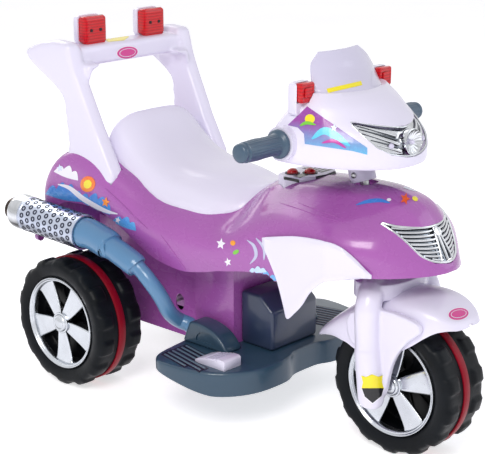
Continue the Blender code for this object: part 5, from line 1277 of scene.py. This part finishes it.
def fender():
    section = smooth_line(FENDER_SECTION, 4)
    rings = [fender_ring(station, section) for station in smooth_line(FENDER_STATIONS, 4)]
    return piece("front_fender", loft(rings), WHITE_PLASTIC, "steering")


# Collar round the stem: distance along and radius over its own, at its foot and at its top
COLLAR_RADIUS = 0.0235
COLLAR_FOOT = mm((0, -1), (1, 0), (26, 0), (28, -0.6), (30, 0))
COLLAR_TOP = mm((-2, 0), (0, -2))
COLLAR_BORE = 0.0083
BOLT_HEAD = mm((0, 0), (0, 5.2), (1.2, 5.6), (3, 5.2), (4, 3.6), (3.6, 3), (2.4, 2.4), (2.2, 0))


def collar():
    start = steer_point(0.4745)
    run = steer_point(0.534) - start
    profile = [(0.0, COLLAR_BORE)] + offset(COLLAR_FOOT, 0.0, COLLAR_RADIUS)
    profile += offset(COLLAR_TOP, run.length, COLLAR_RADIUS) + [(run.length, COLLAR_BORE)]
    form = turned(profile, start, run.normalized(), 56)
    middle = steer_point(0.488)
    hole = rod(middle + Vector((-0.03, 0.0, 0.0)), middle + Vector((-0.01, 0.0, 0.0)), 0.0035, 20)
    steps = [("DIFFERENCE", hole)]
    piece("stem_collar", form, WHITE_PLASTIC, "steering", steps)
    place = Vector((-COLLAR_RADIUS + 0.001, middle.y, middle.z))
    bolt = turned(BOLT_HEAD, place, (-1, 0, 0), 36, closed_profile=False)
    piece("collar_bolt", bolt, STEEL, "steering", name="collar_bolt_head")


GRIP_START_X = 0.147
GRIP_SIDE = mm((0, 11.3), (0, 23.5), (0.8, 25), (2.5, 25.6), (5.5, 25.5), (7.2, 24), (8.8, 20.5), (11, 18.6),
               (16, 18), (30, 17.6), (45, 17.8), (60, 18.7), (72, 18.4), (82, 17.8), (89.5, 18), (90.5, 17),
               (92.5, 16), (94.5, 16.6), (98.5, 16.8), (101.5, 16), (103.5, 13.5), (104.5, 8), (104.6, 0),
               (99, 0), (99, 11.3))


def grip_ribs(distance, radius, turn):
    """Fine ribs along the grip's middle."""
    inside = 0.012 < distance < 0.088 and radius > 0.015
    return radius + (0.00035 * math.cos(24 * turn) if inside else 0.0)


def grips():
    """Grips with a flange, a full middle and a ring groove near the outer end."""
    for side, sign in SIDES:
        start = Vector((sign * GRIP_START_X, BAR.y, BAR.z))
        bm = turned(GRIP_SIDE, start, (sign, 0, 0), 120, closed_profile=False, swing=grip_ribs)
        piece(f"grip_{side}", bm, GREY_PLASTIC, "steering")


# Cowl from above: shares of its half width and of its length to the nose
COWL_PLAN = ((0.0, 1.0), (0.25, 0.977), (0.47, 0.905), (0.71, 0.745), (0.9, 0.53), (0.995, 0.25),
             (0.975, 0.05), (0.86, 0.0), (0.0, 0.0))
# Cowl from below to the top: height, half width, y of its back and nose
COWL_LEVELS = mm(
    (519, 132, -186, -400), (530, 137, -184, -402), (560, 138, -184, -400), (578, 133, -189, -388),
    (592, 127, -197, -372), (606, 120, -206, -354), (622, 112, -215, -334), (640, 100, -224, -303),
)
# Headlight opening from the front: x and z of its right half
EYE_HALF = mm(
    (0, 586.5), (24, 588.5), (61, 594.5), (85, 598.5), (83, 577), (73, 559), (52, 545), (18, 537), (0, 536),
)
EYE = (EYE_HALF, (0.0, 0.562))
COWL_LAMP_X, COWL_LAMP_FRONT_Y, COWL_LAMP_TOP_Z = 0.109, -0.2535, 0.66
COWL_LAMP_SIZE = (0.035, 0.015, 0.035)
# Stages of the cowl's lamps and housings: y from the front face, and share of the full size
COWL_LAMP_FACE = ((0.015, 0.92), (0.004, 1.0), (0.001, 0.96), (0.0, 0.84), (0.0008, 0.7))
COWL_LAMP_BOSS = ((0.0, 1.0), (-0.0015, 0.85))
COWL_HOUSING = ((0.011, 0.94), (0.013, 1.0), (0.026, 1.0), (0.03, 0.94), (0.032, 0.8))


def cowl_ring(level, inset, z=None):
    height, half_width, back, nose = level
    width = half_width - inset
    length = (back - inset) - (nose + inset)
    plan = smooth_line(COWL_PLAN[:8], 4) + [Vector(COWL_PLAN[8])]
    z = height if z is None else z
    return mirrored([Vector((u * width, back - inset - v * length, z)) for u, v in plan])


def cowl_solid(inset=0.0, low=None, high=None):
    levels = smooth_line(COWL_LEVELS, 3)
    rings = [cowl_ring(level, inset) for level in levels]
    if low is not None:
        rings[0] = cowl_ring(levels[0], inset, levels[0][0] + low)
        rings[-1] = cowl_ring(levels[-1], inset, levels[-1][0] + high)
    return loft(rings)


def bar_rod(from_x, to_x, radius, segments=32):
    """A rod along the handlebar."""
    return rod((from_x, BAR.y, BAR.z), (to_x, BAR.y, BAR.z), radius, segments)


def cowl_joins(sign):
    """A lamp housing and a bar boss on one side."""
    width, height = COWL_LAMP_SIZE[0], COWL_LAMP_SIZE[2]
    centre = (sign * COWL_LAMP_X, COWL_LAMP_TOP_Z - (height + 0.022) / 2)
    housing = pillow(centre, width + 0.004, height + 0.023, offset(COWL_HOUSING, COWL_LAMP_FRONT_Y))
    return [("UNION", housing), ("UNION", bar_rod(sign * 0.1, sign * 0.146, 0.03, 48))]


def cowl_lamp_room(sign):
    """The hole for a lamp in its housing."""
    width, depth, height = COWL_LAMP_SIZE
    room = Vector((GAP, GAP, GAP))
    middle = Vector((sign * COWL_LAMP_X, COWL_LAMP_FRONT_Y, COWL_LAMP_TOP_Z))
    low = middle - Vector((width / 2, 0.0, height)) - room
    high = middle + Vector((width / 2, depth, 0.0)) + room
    return ("DIFFERENCE", box(low, high))


def cowl():
    """The hollow cowl with lamp housings and bar bosses, and its two lamps."""
    steps = [("BEVEL", (0.004, 3, 50.0))] + cowl_joins(-1) + cowl_joins(1)
    eye = prism(closed_half(EYE, 0.0), 1, -0.45, -0.29)
    cuts = (cowl_solid(WALL, -0.01, -WALL), bar_rod(-0.3, 0.3, 0.0113), eye)
    steps += [("DIFFERENCE", cut) for cut in cuts]
    steps += [cowl_lamp_room(sign) for sign in (-1, 1)]
    cowl_obj = piece("cowl", cowl_solid(), WHITE_PLASTIC, "steering", steps, 35.0)
    width, height = COWL_LAMP_SIZE[0], COWL_LAMP_SIZE[2]
    for side, sign in SIDES:
        centre = (sign * COWL_LAMP_X, COWL_LAMP_TOP_Z - height / 2)
        bm = pillow(centre, width, height, offset(COWL_LAMP_FACE, COWL_LAMP_FRONT_Y))
        add(bm, pillow(centre, width * 0.5, height * 0.5, offset(COWL_LAMP_BOSS, COWL_LAMP_FRONT_Y)))
        piece(f"cowl_lamp_lens_{side}", bm, RED_LENS, "steering")
    return cowl_obj


# The eye's bars and the dark strips of painted reflection between them, on one side: from x and z to x and z
EYE_BARS = mm((27, 573.5, 76, 592.5), (29, 560, 77, 581), (27, 548.5, 64, 561))
EYE_REFLECTION_STRIPS = mm((28, 566.8, 77, 586.8), (29, 554, 71, 570))
HEADLAMP_Z, HEADLAMP_RADIUS = 0.56, 0.0235
# Distance along, and share of the lamp's radius
HEADLAMP_PROFILE = ((-0.006, 0.0), (-0.006, 0.94), (0.005, 1.0), (0.008, 0.985), (0.0085, 0.94),
                    (0.007, 0.88), (0.0045, 0.74), (0.0026, 0.54), (0.0016, 0.34), (0.0012, 0.2),
                    (0.0012, 0.0))
MAIN_BULB = mm((1, 0), (1, 4.2), (5, 4.4), (7.8, 3), (8.6, 0))
SIDE_BULB = mm((0, 0), (0, 5.2), (3, 4.8), (5, 3), (5.6, 0))


def eye_rods(tree, rows, depth, radius):
    """Tapering rods across the bowl, on both sides."""
    bm = bmesh.new()
    for sign in (-1, 1):
        for from_x, from_z, to_x, to_z in rows:
            pairs = [(sign * (from_x + (to_x - from_x) * step / 8), from_z + (to_z - from_z) * step / 8)
                     for step in range(9)]
            points = front_line(tree, pairs, depth)
            add(bm, tube(points, [radius * (1.0 - 0.75 * step / 8) for step in range(len(points))], 10))
    return bm


def flutes(distance, radius, turn):
    """Waves round the head lamp's bowl."""
    waved = 0.004 < radius < 0.0215 and distance < 0.0075
    return radius * (1.0 + (0.035 * math.cos(18 * turn) if waved else 0.0))


def tree_of(solid):
    """A solid's surface for rays; the solid is freed."""
    tree = BVHTree.FromBMesh(solid)
    solid.free()
    return tree


def headlight():
    """Chrome bowl with a lip and swept bars, one fluted lamp in the middle and two small side bulbs."""
    tree = tree_of(cowl_solid())
    bowl = front_net(closed_half(EYE, 0.0008), tree, 0.011)
    add(bowl, edge_tube(closed_half(EYE, 0.0022), tree, 0.003, 0.0018))
    add(bowl, eye_rods(tree, EYE_BARS, 0.008, 0.0034))
    piece("headlight_reflector", bowl, CHROME, "steering", name="headlight_bowl")
    # The dark strips between the bars are painted dark reflection
    trim("headlight_dark_reflections", eye_rods(tree, EYE_REFLECTION_STRIPS, 0.0092, 0.0022), DARK_REFLECTION_CHROME, "steering")
    centre = front_point(tree, 0.0, HEADLAMP_Z, 0.01)
    aim = Vector((0.0, -1.0, 0.08)).normalized()
    profile = [(distance, share * HEADLAMP_RADIUS) for distance, share in HEADLAMP_PROFILE]
    lamp_bm = turned(profile, centre, aim, 108, closed_profile=False, swing=flutes)
    trim("headlight_lamp", lamp_bm, CHROME, "steering")
    glass = turned(MAIN_BULB, centre, aim, 32, closed_profile=False)
    for sign in (-1, 1):
        place = front_point(tree, sign * 0.044, 0.5585, 0.0095)
        add(glass, turned(SIDE_BULB, place, (sign * 0.3, -1.0, 0.0), 24, closed_profile=False))
    trim("headlight_bulbs", glass, SCREEN_PLASTIC, "steering")


GRILLE_SLATS = 9
SLAT_PITCH = 0.0066
# The mouth's half width by height
MOUTH_WIDTHS = mm((362, 28), (367, 32), (380, 53), (405, 68), (433, 84))
# Beside the grille's centre piece: x and z
CENTRE_EDGE = mm((3.5, 422), (6, 410), (9, 395), (12, 380), (15, 368))


def grille(body_tree):
    """Chrome lip, curved slats over a darker chrome back that is painted shade, and the centre piece with its
    oval.
    """
    # A darker chrome back behind the slats: painted shade
    back = front_net(closed_half(MOUTH, 0.0012), body_tree, 0.0105)
    trim("grille_back", back, SHADE_PAINTED_CHROME, "chassis")
    bm = edge_tube(closed_half(MOUTH, 0.0026), body_tree, 0.0022, 0.0024)
    shares = [step / 8 for step in range(9)]
    for index in range(GRILLE_SLATS):
        z = 0.369 + index * SLAT_PITCH
        half = value_between(MOUTH_WIDTHS, z) - 0.004
        for sign in (-1, 1):
            pairs = [(sign * (0.01 + (half - 0.01) * share), z + 0.004 * share * share) for share in shares]
            line = front_line(body_tree, pairs, 0.005)
            if len(line) > 2:
                add(bm, tube(line, 0.0023, 10))
    pairs = [(0.0, 0.428 - SLAT_PITCH * step) for step in range(10)]
    add(bm, tube(front_line(body_tree, pairs, 0.0045), 0.0032, 14))
    for sign in (-1, 1):
        line = front_line(body_tree, [(sign * x, z) for x, z in CENTRE_EDGE], 0.0035)
        add(bm, tube(line, 0.0021, 10))
    piece("front_grille", bm, CHROME, "chassis")
    ring = oval(0.0, 0.413, 0.0085, 0.006, count=28)
    trim("grille_oval", front_net(ring, body_tree, -0.0002, 0.003), CHROME, "chassis")
    trim("grille_oval_rim", edge_tube(ring, body_tree, 0.0002, 0.0011), CHROME, "chassis")


# Windscreen: height, half width, y at the sides and y at the middle
SCREEN_SAG = 0.01
SCREEN_LEVELS = mm(
    (640.3, 90, -250, -315), (664, 86.5, -242, -272), (687, 76, -233, -252), (703.5, 54, -230, -238),
)


def windscreen():
    rings = []
    foot_z, next_z = SCREEN_LEVELS[0][0], SCREEN_LEVELS[1][0]
    for z, half_width, side_y, middle_y in smooth_line(SCREEN_LEVELS, 5):
        base = max(1.0 - (z - foot_z) / (next_z - foot_z), 0.0)
        front = []
        for step in range(25):
            share = -1.0 + step / 12.0
            sunk = SCREEN_SAG * base * (1.0 - share * share)
            y = middle_y + (side_y - middle_y) * share * share
            front.append(Vector((share * half_width, y, z - sunk)))
        rings.append(front + [point + Vector((0.0, 0.003, 0.0)) for point in reversed(front)])
    steps = [("BEVEL", (0.0011, 2, 50.0))]
    return piece("windscreen", loft(rings), SCREEN_PLASTIC, "steering", steps)


# Print shapes, in the photograph's pixels

def leaning(pairs, cx, cy, tilt):
    """Pairs turned by an angle and moved to a place."""
    cosine, sine = math.cos(math.radians(tilt)), math.sin(math.radians(tilt))
    return [Vector((cx + u * cosine - v * sine, cy + u * sine + v * cosine)) for u, v in pairs]


def oval(cx, cy, half_width, half_height, tilt=0.0, count=30):
    angles = [2.0 * math.pi * step / count for step in range(count)]
    pairs = [(half_width * math.cos(angle), half_height * math.sin(angle)) for angle in angles]
    return leaning(pairs, cx, cy, tilt)


def star(cx, cy, radius, turn=0.0):
    points = []
    for step in range(10):
        angle = math.radians(turn - 90.0 + 36.0 * step)
        reach = radius * (0.46 if step % 2 else 1.0)
        points.append((cx + 0.8 * reach * math.cos(angle), cy + reach * math.sin(angle)))
    return points


def cloud(cx, cy, width, height, lobes=4, tilt=0.0):
    """A lobed top over a nearly flat bottom."""
    pairs = []
    count = lobes * 7
    for step in range(count + 1):
        share = step / count
        rise = height * (0.62 * math.sin(math.pi * share) + 0.38 * abs(math.sin(math.pi * lobes * share)))
        pairs.append((width * (share - 0.5), -rise))
    for step in range(1, 8):
        pairs.append((width * (0.5 - step / 8), height * 0.12 * math.sin(math.pi * step / 8)))
    return leaning(pairs, cx, cy, tilt)


def swoosh(line, width):
    """A band along a line that tapers to both ends."""
    flow = smooth_line(line, 5)
    left = []
    right = []
    for index, point in enumerate(flow):
        ahead = flow[min(index + 1, len(flow) - 1)] - flow[max(index - 1, 0)]
        side = Vector((-ahead.y, ahead.x)).normalized()
        half = 0.5 * width * (math.sin(math.pi * (index + 0.35) / (len(flow) - 0.3)) ** 0.7)
        left.append(point + side * half)
        right.append(point - side * half)
    return left + right[::-1]


def badge(cx, cy, *sizes):
    """A plain oval badge of white and pink fields, one over the other."""
    fields = (("rim", "white"), ("oval", "pink"), ("line", "white"), ("heart", "pink"))
    return [(part, oval(cx, cy, *size, -8), ink, layer)
            for layer, ((part, ink), size) in enumerate(zip(fields, sizes))]


# Prints: part, outline, ink and layer
TAIL_PRINT = (
    ("cloud_low", cloud(64, 198, 38, 16, 4, 12), "sky", 0),
    ("cloud_mid", cloud(94, 207, 36, 14, 4, 26), "sky", 0),
    ("cloud_high", cloud(66, 176, 26, 11, 3, 20), "white", 0),
    ("cloud_end", cloud(124, 226, 26, 10, 3, 22), "sky", 0),
    ("sun", oval(88, 184, 7.5, 8.0, 20), "orange", 1),
    ("sun_heart", oval(88, 184, 4.0, 4.4, 20), "yellow", 2),
    ("swirl", swoosh(((58, 184), (70, 188), (84, 199), (104, 210), (118, 214)), 5.0), "white", 1),
    ("star_a", star(106, 202, 5.5, 12), "orange", 2), ("star_b", star(60, 168, 4.0, -8), "light", 1),
    ("star_c", star(118, 220, 3.6, 20), "white", 1),
)
FLANK_PRINT = (
    ("star_a", star(221, 244, 6.0, 10), "white", 0), ("star_b", star(228, 262, 4.6, -14), "white", 0),
    ("leaf", oval(236, 252, 3.4, 2.0, -30), "green", 0), ("dot", oval(233, 243, 2.6, 2.6), "orange", 0),
    ("curl_a", swoosh(((247, 240), (254, 246), (256, 256), (250, 264)), 3.4), "silver", 0),
    ("curl_b", swoosh(((256, 238), (264, 248), (264, 260)), 3.2), "silver", 0),
    ("cloud", cloud(262, 280, 30, 10, 4, 6), "sky", 0),
    ("cloud_top", cloud(258, 272, 18, 6, 3, 0), "light", 1),
)
HOOD_PRINT = (
    ("swoosh", swoosh(((356, 205), (368, 201.5), (380, 200.5), (390, 203)), 4.2), "sky", 0),
    ("dot_a", oval(389, 200, 2.2, 1.5), "white", 1), ("cloud", cloud(412, 190, 18, 6, 3, 14), "light", 0),
    ("star", star(405, 199, 6.5, 18), "orange", 1), ("dot_b", oval(415, 199, 3.0, 2.2, 30), "yellow", 1),
)
COWL_PANEL = ((307.2, 106.4), (287.7, 125.2), (297.8, 127.5), (304, 133.8), (304.8, 143.9), (352.5, 151),
              (367.3, 154.8), (367.3, 147.8))
COWL_PRINT = (
    ("panel", COWL_PANEL, "panel", 0), ("sun", oval(310, 119, 5.0, 4.6), "yellow", 1),
    ("leaf", swoosh(((300, 126), (307, 123), (316, 125)), 3.4), "green", 2),
    ("wave_a", swoosh(((312, 139), (324, 131), (336, 136), (350, 146)), 8.0), "cyan", 1),
    ("wave_b", swoosh(((322, 143), (334, 141), (346, 148)), 3.4), "magenta", 2),
    ("star", star(334, 128, 4.4, 8), "light", 2),
)
HOOP_PRINT = (
    ("stripe", ((105, 39.5), (127, 34.0), (129, 37.0), (124, 40.5), (108, 42.0)), "yellow", 0),
    *badge(127.2, 52.5, (11.2, 6.6), (10.3, 5.8), (8.2, 4.1), (7.6, 3.6)),
)
FENDER_PRINT = badge(458.4, 314.2, (10.8, 6.6), (10.0, 5.9), (7.9, 4.1), (7.3, 3.6))
SCREEN_PRINT = (
    ("strip", ((326.5, 88.8), (361.0, 81.0), (362.2, 85.2), (328, 93.0)), "yellow", 0),
    ("corner", ((372, 71), (382.5, 84), (375, 86.5), (371, 86)), "lilac", 0),
)
SHIELD_MIDDLE = Vector((372.5, 388.0))
SHIELD = [Vector(pair) for pair in (
    (361.5, 375.5), (366, 376.8), (372, 374.2), (378, 376.6), (382.6, 375.2), (381.6, 382), (383.6, 388),
    (381, 396), (372.5, 403), (365, 396.5), (362.0, 388), (363.2, 382))]
SHIELD_PRINT = (
    ("_rim", [SHIELD_MIDDLE + (point - SHIELD_MIDDLE) * 1.08 for point in SHIELD], "white", 0),
    ("", SHIELD, "black", 1),
    ("_top", [point for point in SHIELD if point.y <= SHIELD_MIDDLE.y], "yellow", 2),
)
CREASES = (
    ((279, 202.5), (300, 209), (320, 216), (341.6, 222)), ((297.8, 202.5), (318, 210), (340, 218)),
    ((105, 188), (120, 202), (135, 217), (148, 229)), ((161, 235), (172, 250), (184, 267), (194, 281)),
)


def print_set(name, skin, rows, body, both=False):
    for part, outline, ink, layer in rows:
        sticker(f"{name}{part}", skin, outline, INKS[ink], body, layer, both)


def prints(body, hoop_obj, cowl_obj, fender_obj, fork_obj, screen):
    """Generic prints in the places of the photograph's, and the creases of the flanks."""
    body_skin = Skin(body)
    print_set("tail_print_", body_skin, TAIL_PRINT, "chassis", True)
    print_set("flank_print_", body_skin, FLANK_PRINT, "chassis", True)
    print_set("hood_print_", body_skin, HOOD_PRINT, "chassis")
    for number, line in enumerate(CREASES):
        bead(f"flank_crease_{number}", body_skin, line, 0.0011, PINK_PLASTIC, "chassis")
    print_set("hoop_print_", Skin(hoop_obj), HOOP_PRINT, "chassis")
    print_set("cowl_print_", Skin(cowl_obj), COWL_PRINT, "steering", True)
    print_set("fender_print_", Skin(fender_obj), FENDER_PRINT, "steering")
    print_set("screen_print_", Skin(screen), SCREEN_PRINT, "steering")
    print_set("fork_shield", Skin(fork_obj), SHIELD_PRINT, "steering", True)


def inner_pieces():
    """The front axle between the fork's legs, and finishes for the pieces that keep their form."""
    paint(PINK_PLASTIC, "underframe")
    reach = Vector((0.098, 0.0, 0.0))
    piece("front_axle", rod(FRONT_AXLE - reach, FRONT_AXLE + reach, 0.005), STEEL, "steering")
    paint(STEEL, "rear_axle", "steering_stem", "handlebar", "motor", "motor_pinion")
    paint(BLACK_PLASTIC, "battery", "gearbox_case", "gearbox_cover", "pedal_switch", "bar_clamp")
    paint(NYLON, "steering_bush", "drive_gear")


# Light, floor and camera

FLOOR_GLOW = 0.62
LAMPS = (
    ("key", (-2.2, -1.2, 2.4), 1.3, 54.0, (1.0, 0.98, 0.95)),
    ("fill", (1.8, -2.2, 1.6), 2.0, 14.0, (0.9, 0.94, 1.0)),
    ("back_light", (0.6, 2.6, 2.2), 1.8, 26.0, (1.0, 1.0, 1.0)),
)


def lamp(name, place, size, power, colour):
    data = bpy.data.lights.new(name, "AREA")
    data.size = size
    data.energy = power
    data.color = colour
    obj = bpy.data.objects.new(name, data)
    obj.location = place
    obj.rotation_euler = (CAMERA_TARGET - Vector(place)).to_track_quat("-Z", "Y").to_euler()
    bpy.context.scene.collection.objects.link(obj)


def background(tree, colour, strength):
    node = tree.nodes.new("ShaderNodeBackground")
    node.inputs["Color"].default_value = colour
    node.inputs["Strength"].default_value = strength
    return node.outputs["Background"]


def either(tree, first, second):
    node = tree.nodes.new("ShaderNodeMath")
    node.operation = "MAXIMUM"
    tree.links.new(first, node.inputs[0])
    tree.links.new(second, node.inputs[1])
    return node.outputs["Value"]


def sky():
    """Soft light on the pieces; white for the camera, in mirrors and through glass."""
    world = bpy.data.worlds.new("studio")
    bpy.context.scene.world = world
    world.use_nodes = True
    tree = world.node_tree
    tree.nodes.clear()
    rays = tree.nodes.new("ShaderNodeLightPath").outputs
    mix = tree.nodes.new("ShaderNodeMixShader")
    mirror = either(tree, rays["Is Glossy Ray"], rays["Is Transmission Ray"])
    tree.links.new(either(tree, rays["Is Camera Ray"], mirror), mix.inputs["Fac"])
    tree.links.new(background(tree, (0.93, 0.92, 1.0, 1.0), 0.42), mix.inputs[1])
    tree.links.new(background(tree, (1.0, 1.0, 1.0, 1.0), 1.0), mix.inputs[2])
    output = tree.nodes.new("ShaderNodeOutputWorld")
    tree.links.new(mix.outputs["Shader"], output.inputs["Surface"])


def studio():
    """Pale floor, white background for the camera, soft light from above and both sides."""
    bm = bmesh.new()
    bmesh.ops.create_grid(bm, x_segments=8, y_segments=8, size=6.0)
    surface = Surface("floor_look")
    surface.tint(surface.noise(2.0, 4.0), ((0.3, (0.86, 0.86, 0.87, 1.0)), (0.7, (0.9, 0.9, 0.91, 1.0))))
    surface.sockets["Emission Color"].default_value = (1.0, 1.0, 1.0, 1.0)
    surface.sockets["Emission Strength"].default_value = FLOOR_GLOW
    floor = placed("floor", bm, surface.finish(0.9, specular=0.1))
    sky()
    for row in LAMPS:
        lamp(*row)
    bpy.context.scene.view_settings.view_transform = "Standard"


def make_camera():
    data = bpy.data.cameras.new("photo_camera")
    data.sensor_width = SENSOR_WIDTH
    data.lens = FOCAL_PX * SENSOR_WIDTH / IMAGE_WIDTH
    camera = bpy.data.objects.new("photo_camera", data)
    bpy.context.scene.collection.objects.link(camera)
    camera.location = CAMERA_PLACE + SHIFT
    camera.rotation_euler = BACK.to_track_quat("Z", "Y").to_euler()
    bpy.context.scene.camera = camera


def build():
    body = body_and_seat()
    side_fins()
    hoop_obj = hoop()
    grille(tree_of(body_solid()))
    for side, sign in SIDES:
        exhaust(side, sign)
    footboard()
    dash()
    pedal()
    wheels()
    fork_obj = fork()
    fender_obj = fender()
    collar()
    grips()
    cowl_obj = cowl()
    headlight()
    screen = windscreen()
    prints(body, hoop_obj, cowl_obj, fender_obj, fork_obj, screen)
    inner_pieces()
    studio()
    make_camera()


build()
